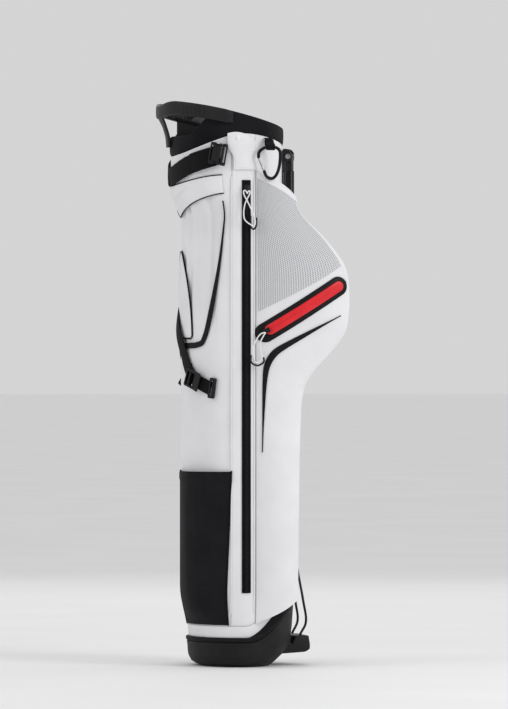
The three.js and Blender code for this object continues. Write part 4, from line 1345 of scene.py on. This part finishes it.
def pouch_place(u, v):
    """Up the outside, over the hem and a little way down inside."""
    height = min(1, v / 0.92)
    inside = max(0, v - 0.92) / 0.08
    angle = mix(-184, mix(-112, -105, height), u)
    z = mix(POUCH_LOW.z, POUCH_HIGH.z, height) - 16 * inside
    full = math.sin(math.pi * u) ** 1.3
    belly = 0.35 + 0.65 * math.sin(math.pi * min(1, 0.12 + 0.5 * height)) ** 0.7
    below_rim = POUCH_HIGH.z - z
    hem = (1 - ease(below_rim, 13.4, 15)) * ease(below_rim, 0, 1)
    folds = 1.4 * noise.noise(Vector((angle * 0.1, z * 0.006, 1.7)))
    out = 0.8 + 12.5 * full * belly * ease(z, POUCH_LOW.z - 4, POUCH_LOW.z + 28) + hem + folds * full
    return on_tube(angle, z, max(0.5, out) - 1.4 * ease(inside, 0, 0.3))


pouch = grid_mesh("pouch", pouch_place, 90, 130)
add_piece("pouch_cloth", pouch, ELASTIC, replaces="drink_pouch", thick=0.9)
for u in (0.006, 0.994):
    edge_line = [pouch_place(u, 0.92 * k / 60) for k in range(61)]
    add_piece(f"pouch_binding_{round(u)}", rod_mesh("binding", edge_line, 1.3), BLACK_TWILL)


# ---------------------------------------------------------------------------------------------
# The shoulder pads: contoured foam in black knit with bound edges and a quilted middle. They are
# folded one over the other against the far side, each between two lengths of webbing.
def shoulder_pad(name, start, inner):
    low, high = corners(name)

    def place(u, v):
        """Round the pad in section by u, and from its lower end to its upper one by v."""
        turn = 2 * math.pi * u
        waist = 1 - 0.16 * math.sin(math.pi * v) ** 2
        tip = min(1, math.sin(math.pi * min(max(v, 0.002), 0.998)) / math.sin(math.pi * 0.07)) ** 0.5
        side = squared(math.cos(turn), 0.55) * waist * tip
        depth = squared(math.sin(turn), 0.7) * tip
        angle = start + 13 + 12.6 * side
        quilt = 0.9 * abs(math.sin(math.pi * v * 9)) ** 0.4 * (1 - abs(side)) if depth > 0 else 0
        return on_tube(angle, mix(low.z + 1, high.z - 1, v), inner + 4.3 + (3.8 + quilt) * depth)

    mesh = grid_mesh(name, place, 64, 150, closed=True, inside=on_tube(start + 13, 608, inner + 4.3))
    pad = add_piece(f"{name}_cover", mesh, BLACK_KNIT, replaces=name)
    for where, edge in (("left", 0.0), ("right", 0.5)):
        line = [place(edge, v / 60) for v in range(2, 59)]
        add_piece(f"{name}_{where}_edge", rod_mesh("binding", line, 1.6), WEBBING)


shoulder_pad("shoulder_pad_a", 97, 5)
shoulder_pad("shoulder_pad_b", 101, 14.4)
for name, stations, outs in (
    ("upper_pad_webbing", [(110, 728), (111, 752), (112, 780)], (9, 7.5)),
    ("lower_pad_webbing", [(110, 488), (118, 462), (126, 440)], (9, 5.6)),
    ("outer_pad_webbing", [(114, 728), (119, 750), (126, 774)], (19, 7.5)),
):
    band = ribbon_mesh("strap", stations, 20, lambda u, v, outs=outs: mix(*outs, ease(u, 0, 0.8)), 40, 8)
    add_piece(name, band, WEBBING, thick=1.5)

# ---------------------------------------------------------------------------------------------
# The towel hook: a black aluminium carabiner with a sprung steel gate, hung in a sewn loop of
# webbing on the near side of the collar.
HOOK = Vector((29, -107, 803))


def loop_place(u, v):
    """Webbing down from the collar, round the carabiner's top and back up."""
    upper, lower = Vector((0, 17, 15)), Vector((0, 17, 9.5))
    if v < 0.3:
        point = upper.lerp(Vector((0, 0.5, 5.2)), v / 0.3)
    elif v > 0.7:
        point = Vector((0, 4.2, -2.6)).lerp(lower, (v - 0.7) / 0.3)
    else:
        angle = math.radians(mix(90, 330, (v - 0.3) / 0.4))
        point = Vector((0, 5.1 * math.cos(angle), 5.1 * math.sin(angle)))
    return HOOK + point + Vector((mix(-6.5, 6.5, u), 0, 0))


loop = grid_mesh("loop", loop_place, 8, 60, inside=HOOK)
add_piece("hook_webbing", loop, WEBBING, replaces="hook_loop", thick=1.3)
bar_tack = box_mesh("tack", HOOK + Vector((-7, 8, 2.5)), HOOK + Vector((7, 12, 11.5)), 1.2)
add_piece("hook_bar_tack", bar_tack, BLACK_TWILL, slot="black_webbing")

ANODISED_BLACK = moulded_plastic(
    "black_anodised_aluminium", "#101012", "#1C1C1E", 0.32, 0.4, 0.8, 0.01, metallic=0.6
)
CARABINER = [
    (-19, -16), (-18, -8), (-10, -1.5), (0, 0), (10, -1.5), (15, -8),
    (14.5, -25), (11, -39), (5.5, -47), (-1, -48.5), (-7, -44.5), (-10, -37.5),
]
GATE = [(-10.4, -36), (-14.5, -27), (-18.6, -17.8)]


def hooked(points, steps):
    return spline([HOOK + Vector((x, 0, z)) for x, z in points], steps)


ring = rod_mesh("carabiner", hooked(CARABINER, 90), 2.5, 14)
gate = rod_mesh("gate", hooked(GATE, 16), 1.7, 12)
add_piece("carabiner_body", ring, ANODISED_BLACK, "carabiner", replaces="carabiner")
add_piece("carabiner_sprung_gate", gate, BRIGHT_STEEL, "carabiner_gate", replaces="carabiner_gate")

# ---------------------------------------------------------------------------------------------
# The stand's legs: each a 14 mm anodised aluminium tube in a nylon knuckle, hung on a steel pin in
# a screwed bracket and shod with a ribbed rubber foot.
HINGE = Vector((76, 30, 791))
SPLAY = 26
TUBE_LENGTH, SHANK, LEG_RADIUS = 594, 22.4, 7


def slab_mesh(name, outline, low, high, radius):
    """An outline of (x, z) drawn out along Y, its edges rounded."""
    made = bmesh.new()
    near = [made.verts.new((x, low, z)) for x, z in outline]
    far = [made.verts.new((x, high, z)) for x, z in outline]
    made.faces.new(near)
    made.faces.new(list(reversed(far)))
    for k in range(len(outline)):
        after = (k + 1) % len(outline)
        made.faces.new([near[k], far[k], far[after], near[after]])
    bmesh.ops.recalc_face_normals(made, faces=made.faces[:])
    round_edges(made, radius)
    return finished(name, made)


EAR_OUTLINE = [(-8, -9), (1, -9), (4.4, -6), (5, 0), (4.4, 6), (1, 10.5), (-3, 12), (-8, 12)]


def bracket_mesh():
    """A back plate with two rounded ears, bored for the pin."""
    back = box_mesh("back", (-8.5, -10.6, -9), (-6, 10.6, 12), 0.8)
    ears = [slab_mesh("ear", EAR_OUTLINE, y, y + 2.6, 0.6) for y in (-10.6, 8)]
    heads = []
    for z in (-5, 8.5):
        head = dome_mesh("head", 2.4, 1.2)
        head.transform(Matrix.Translation(Vector((-6, 0, z)) * MM) @ Matrix.Rotation(math.pi / 2, 4, "Y"))
        heads.append(head)
    return joined("bracket", [back, *ears, *heads])


def knuckle_mesh():
    """A round eye on the pin, and a shank into the tube."""
    eye = lathe_mesh("eye", [(3.4, -7.3), (5.2, -7.3), (5.5, -6.8), (5.5, 6.8), (5.2, 7.3), (3.4, 7.3)])
    eye.transform(Matrix.Rotation(math.pi / 2, 4, "X"))
    shank = box_mesh("shank", (-4.8, -7.3, -SHANK), (4.8, 7.3, -2), 1.4)
    return joined("knuckle", [eye, shank])


def foot_profile():
    """Its radii by height, from the rounded sole up over five ribs."""
    sole = [(0.1, -24), (4.5, -23.4), (6.6, -22.2), (8.1, -19.4)]
    ribs = [(r, z) for k in range(4, -1, -1) for r, z in ((7.5, -7.3 - 2.6 * k), (8.1, -6 - 2.6 * k))]
    return [*sole, *ribs, (8.1, -4.6), (7.9, -1.2), (7.2, 0), (0.1, 0)]


def tube_profile(top, low):
    wall = LEG_RADIUS - 1.2
    edge = LEG_RADIUS - 0.2
    body = [(LEG_RADIUS, z) for z in (low + 0.5, -400, -200, top - 0.5)]
    return [(wall, low), (edge, low), *body, (edge, top), (wall, top)]


PIN_PROFILE = [
    # radius and place along it: head, shank, washer
    (0.1, -12.6), (4.2, -12.6), (4.6, -12), (4.6, -11), (3, -10.8), (3, 11), (4, 11.2), (4, 12), (0.1, 12.4),
]


COATED_TUBE = moulded_plastic(
    "black_anodised_tube", "#141416", "#202022", 0.3, 0.5, 0.5, 0.008, metallic=0.7
)
TUBE_END = -SHANK - TUBE_LENGTH
for side, sign in SIDES:
    place = Matrix.Translation(Vector((HINGE.x, -sign * HINGE.y, HINGE.z)) * MM)
    place = place @ Matrix.Rotation(math.radians(-sign * SPLAY), 4, "Z")
    leg = f"{side}_leg"
    foot = lathe_mesh("foot", foot_profile())
    foot.transform(Matrix.Translation(Vector((0, 0, TUBE_END - 0.4)) * MM))
    pin = lathe_mesh("pin", PIN_PROFILE)
    pin.transform(Matrix.Rotation(math.pi / 2, 4, "X"))
    tube = lathe_mesh("tube", tube_profile(-SHANK, TUBE_END))
    for name, mesh, material, body, slot, node in (
        ("bracket", bracket_mesh(), ACETAL, "bag", None, f"{side}_leg_bracket"),
        ("pin", pin, BRIGHT_STEEL, "bag", None, f"{side}_hinge_pin"),
        ("knuckle", knuckle_mesh(), ACETAL, leg, None, f"{side}_leg_knuckle"),
        ("tube", tube, COATED_TUBE, leg, None, f"{side}_leg_tube"),
        ("foot", foot, SOFT_RUBBER, leg, "foot_rubber", f"{side}_leg_foot"),
    ):
        mesh.transform(place)
        add_piece(f"{side}_leg_{name}_form", mesh, material, body, slot, replaces=node)

# ---------------------------------------------------------------------------------------------
# The trip lever: a moulded foot plate in the boot's toe, on a steel pin. When the bag is leaned
# over, it lifts two sprung wires, and they push the legs out.
PLATE_OUTLINE = [
    # (forward, height) round its side: underside, toe, heel of the raised pad, arm
    (55, 17), (100, 20), (106, 23), (108, 27), (108, 31), (106, 45), (103, 46), (87, 46), (84, 45),
    (80, 33), (60, 28), (55, 27),
]
treads = [
    box_mesh("tread", (106.4, PLATE_LOW.y + 3, z), (108.6, PLATE_HIGH.y - 3, z + 1.6), 0.5)
    for z in (24.5, 28.5, 32.5)
]
plate = joined("foot_plate", [slab_mesh("plate", PLATE_OUTLINE, PLATE_LOW.y, PLATE_HIGH.y, 1.4), *treads])
add_piece("foot_plate_moulding", plate, ACETAL, "foot_lever", replaces="foot_plate")
PIN_LOW, PIN_HIGH = corners("plate_pin")
pin_line = [Vector((60, y, 22)) for y in (PIN_LOW.y, 0, PIN_HIGH.y)]
add_piece("foot_plate_pin", rod_mesh("pin", pin_line, 2, 16), BRIGHT_STEEL, replaces="plate_pin")
COATED_WIRE = moulded_plastic(
    "black_coated_spring_wire", "#0D0D0F", "#171719", 0.4, 0.5, 0.5, 0.01, metallic=0.4
)
WIRE = [
    (93, -28, 47), (102, -30, 68), (97, -29, 104), (88, -18, 170),
    (84, -12, 260), (82, -10, 500), (81, -10, 745),
]
for side, sign in SIDES:
    wire = rod_mesh("wire", spline([Vector((x, sign * y, z)) for x, y, z in WIRE], 160), 1.9, 12)
    add_piece(f"{side}_lift_wire", wire, COATED_WIRE, f"{side}_wire", "steel", f"{side}_wire")

# ---------------------------------------------------------------------------------------------
# Inside: a full-length divider of black cloth, a moulded divider frame clipped into the collar,
# and two fibreglass stays in sleeves that hold the boot and the collar apart.
DIVIDER_LOW, DIVIDER_HIGH = corners("divider_sheet")


def divider_place(u, v):
    x, z = mix(DIVIDER_LOW.x, DIVIDER_HIGH.x, u), mix(DIVIDER_LOW.z, DIVIDER_HIGH.z, v)
    wave = 3.5 * noise.noise(Vector((x * 0.02, z * 0.006, 4.2))) * math.sin(math.pi * u) ** 0.5
    return Vector((x, wave * math.sin(math.pi * v) ** 0.5, z))


divider = grid_mesh("divider", divider_place, 30, 120, inside=Vector((0, 100, 400)))
add_piece("divider_cloth", divider, BLACK_TWILL, replaces="divider_sheet", thick=1.0)


def frame_ring_place(u, v):
    angle = 360 * u - 180
    return on_tube(angle, mix(790, collar_top(angle) - 3, v), -5.5 - 2.2 * math.sin(math.pi * v))


ring = grid_mesh("ring", frame_ring_place, 140, 10, closed=True)
add_piece("divider_ring", ring, ACETAL, replaces="divider_frame", thick=2.0, edge=0.6)
BAR_REAR, BAR_FRONT, BAR_HEIGHT, BAR_BELOW = -97, 60, 37, 26.5


def bar_top(x):
    """The divider bars are parallel to the rim and a little below it."""
    return RIM_MIDDLE - BAR_BELOW - RIM_SLOPE * (x - COLLAR_CENTRE) / COLLAR_DEPTH


long_outline = [
    (BAR_REAR, bar_top(BAR_REAR) - BAR_HEIGHT),
    (BAR_FRONT, bar_top(BAR_FRONT) - BAR_HEIGHT),
    (BAR_FRONT, bar_top(BAR_FRONT)),
    (BAR_REAR, bar_top(BAR_REAR)),
]
cross_top = bar_top(COLLAR_CENTRE)
cross_low = (COLLAR_CENTRE - 2, -92, cross_top - BAR_HEIGHT)
cross_bar = box_mesh("cross", cross_low, (COLLAR_CENTRE + 2, 92, cross_top), 1.8)
long_bar = slab_mesh("long", long_outline, -2, 2, 1.8)
add_piece("divider_cross", joined("cross", [long_bar, cross_bar]), ACETAL)
padding = [
    rod_mesh("pad", [Vector((x, 0, bar_top(x))) for x in (BAR_REAR, COLLAR_CENTRE, BAR_FRONT)], 3.8, 14),
    rod_mesh("pad", [Vector((COLLAR_CENTRE, y, cross_top)) for y in (-88, 0, 88)], 3.8, 14),
]
padded_bars = add_piece("divider_padding", joined("padding", padding), BLACK_KNIT)
STAY_LOW, STAY_HIGH = corners("near_stay")
for side, sign in SIDES:
    x = (STAY_LOW.x + STAY_HIGH.x) / 2
    y = sign * (STAY_LOW.y + STAY_HIGH.y) / 2
    line = [Vector((x, y, z)) for z in (STAY_LOW.z, 300, 500, STAY_HIGH.z)]
    add_piece(f"{side}_stay_rod", rod_mesh("stay", line, 3, 16), COATED_WIRE, replaces=f"{side}_stay")

# ---------------------------------------------------------------------------------------------
# The scene, brought up to date.
bpy.context.view_layer.update()
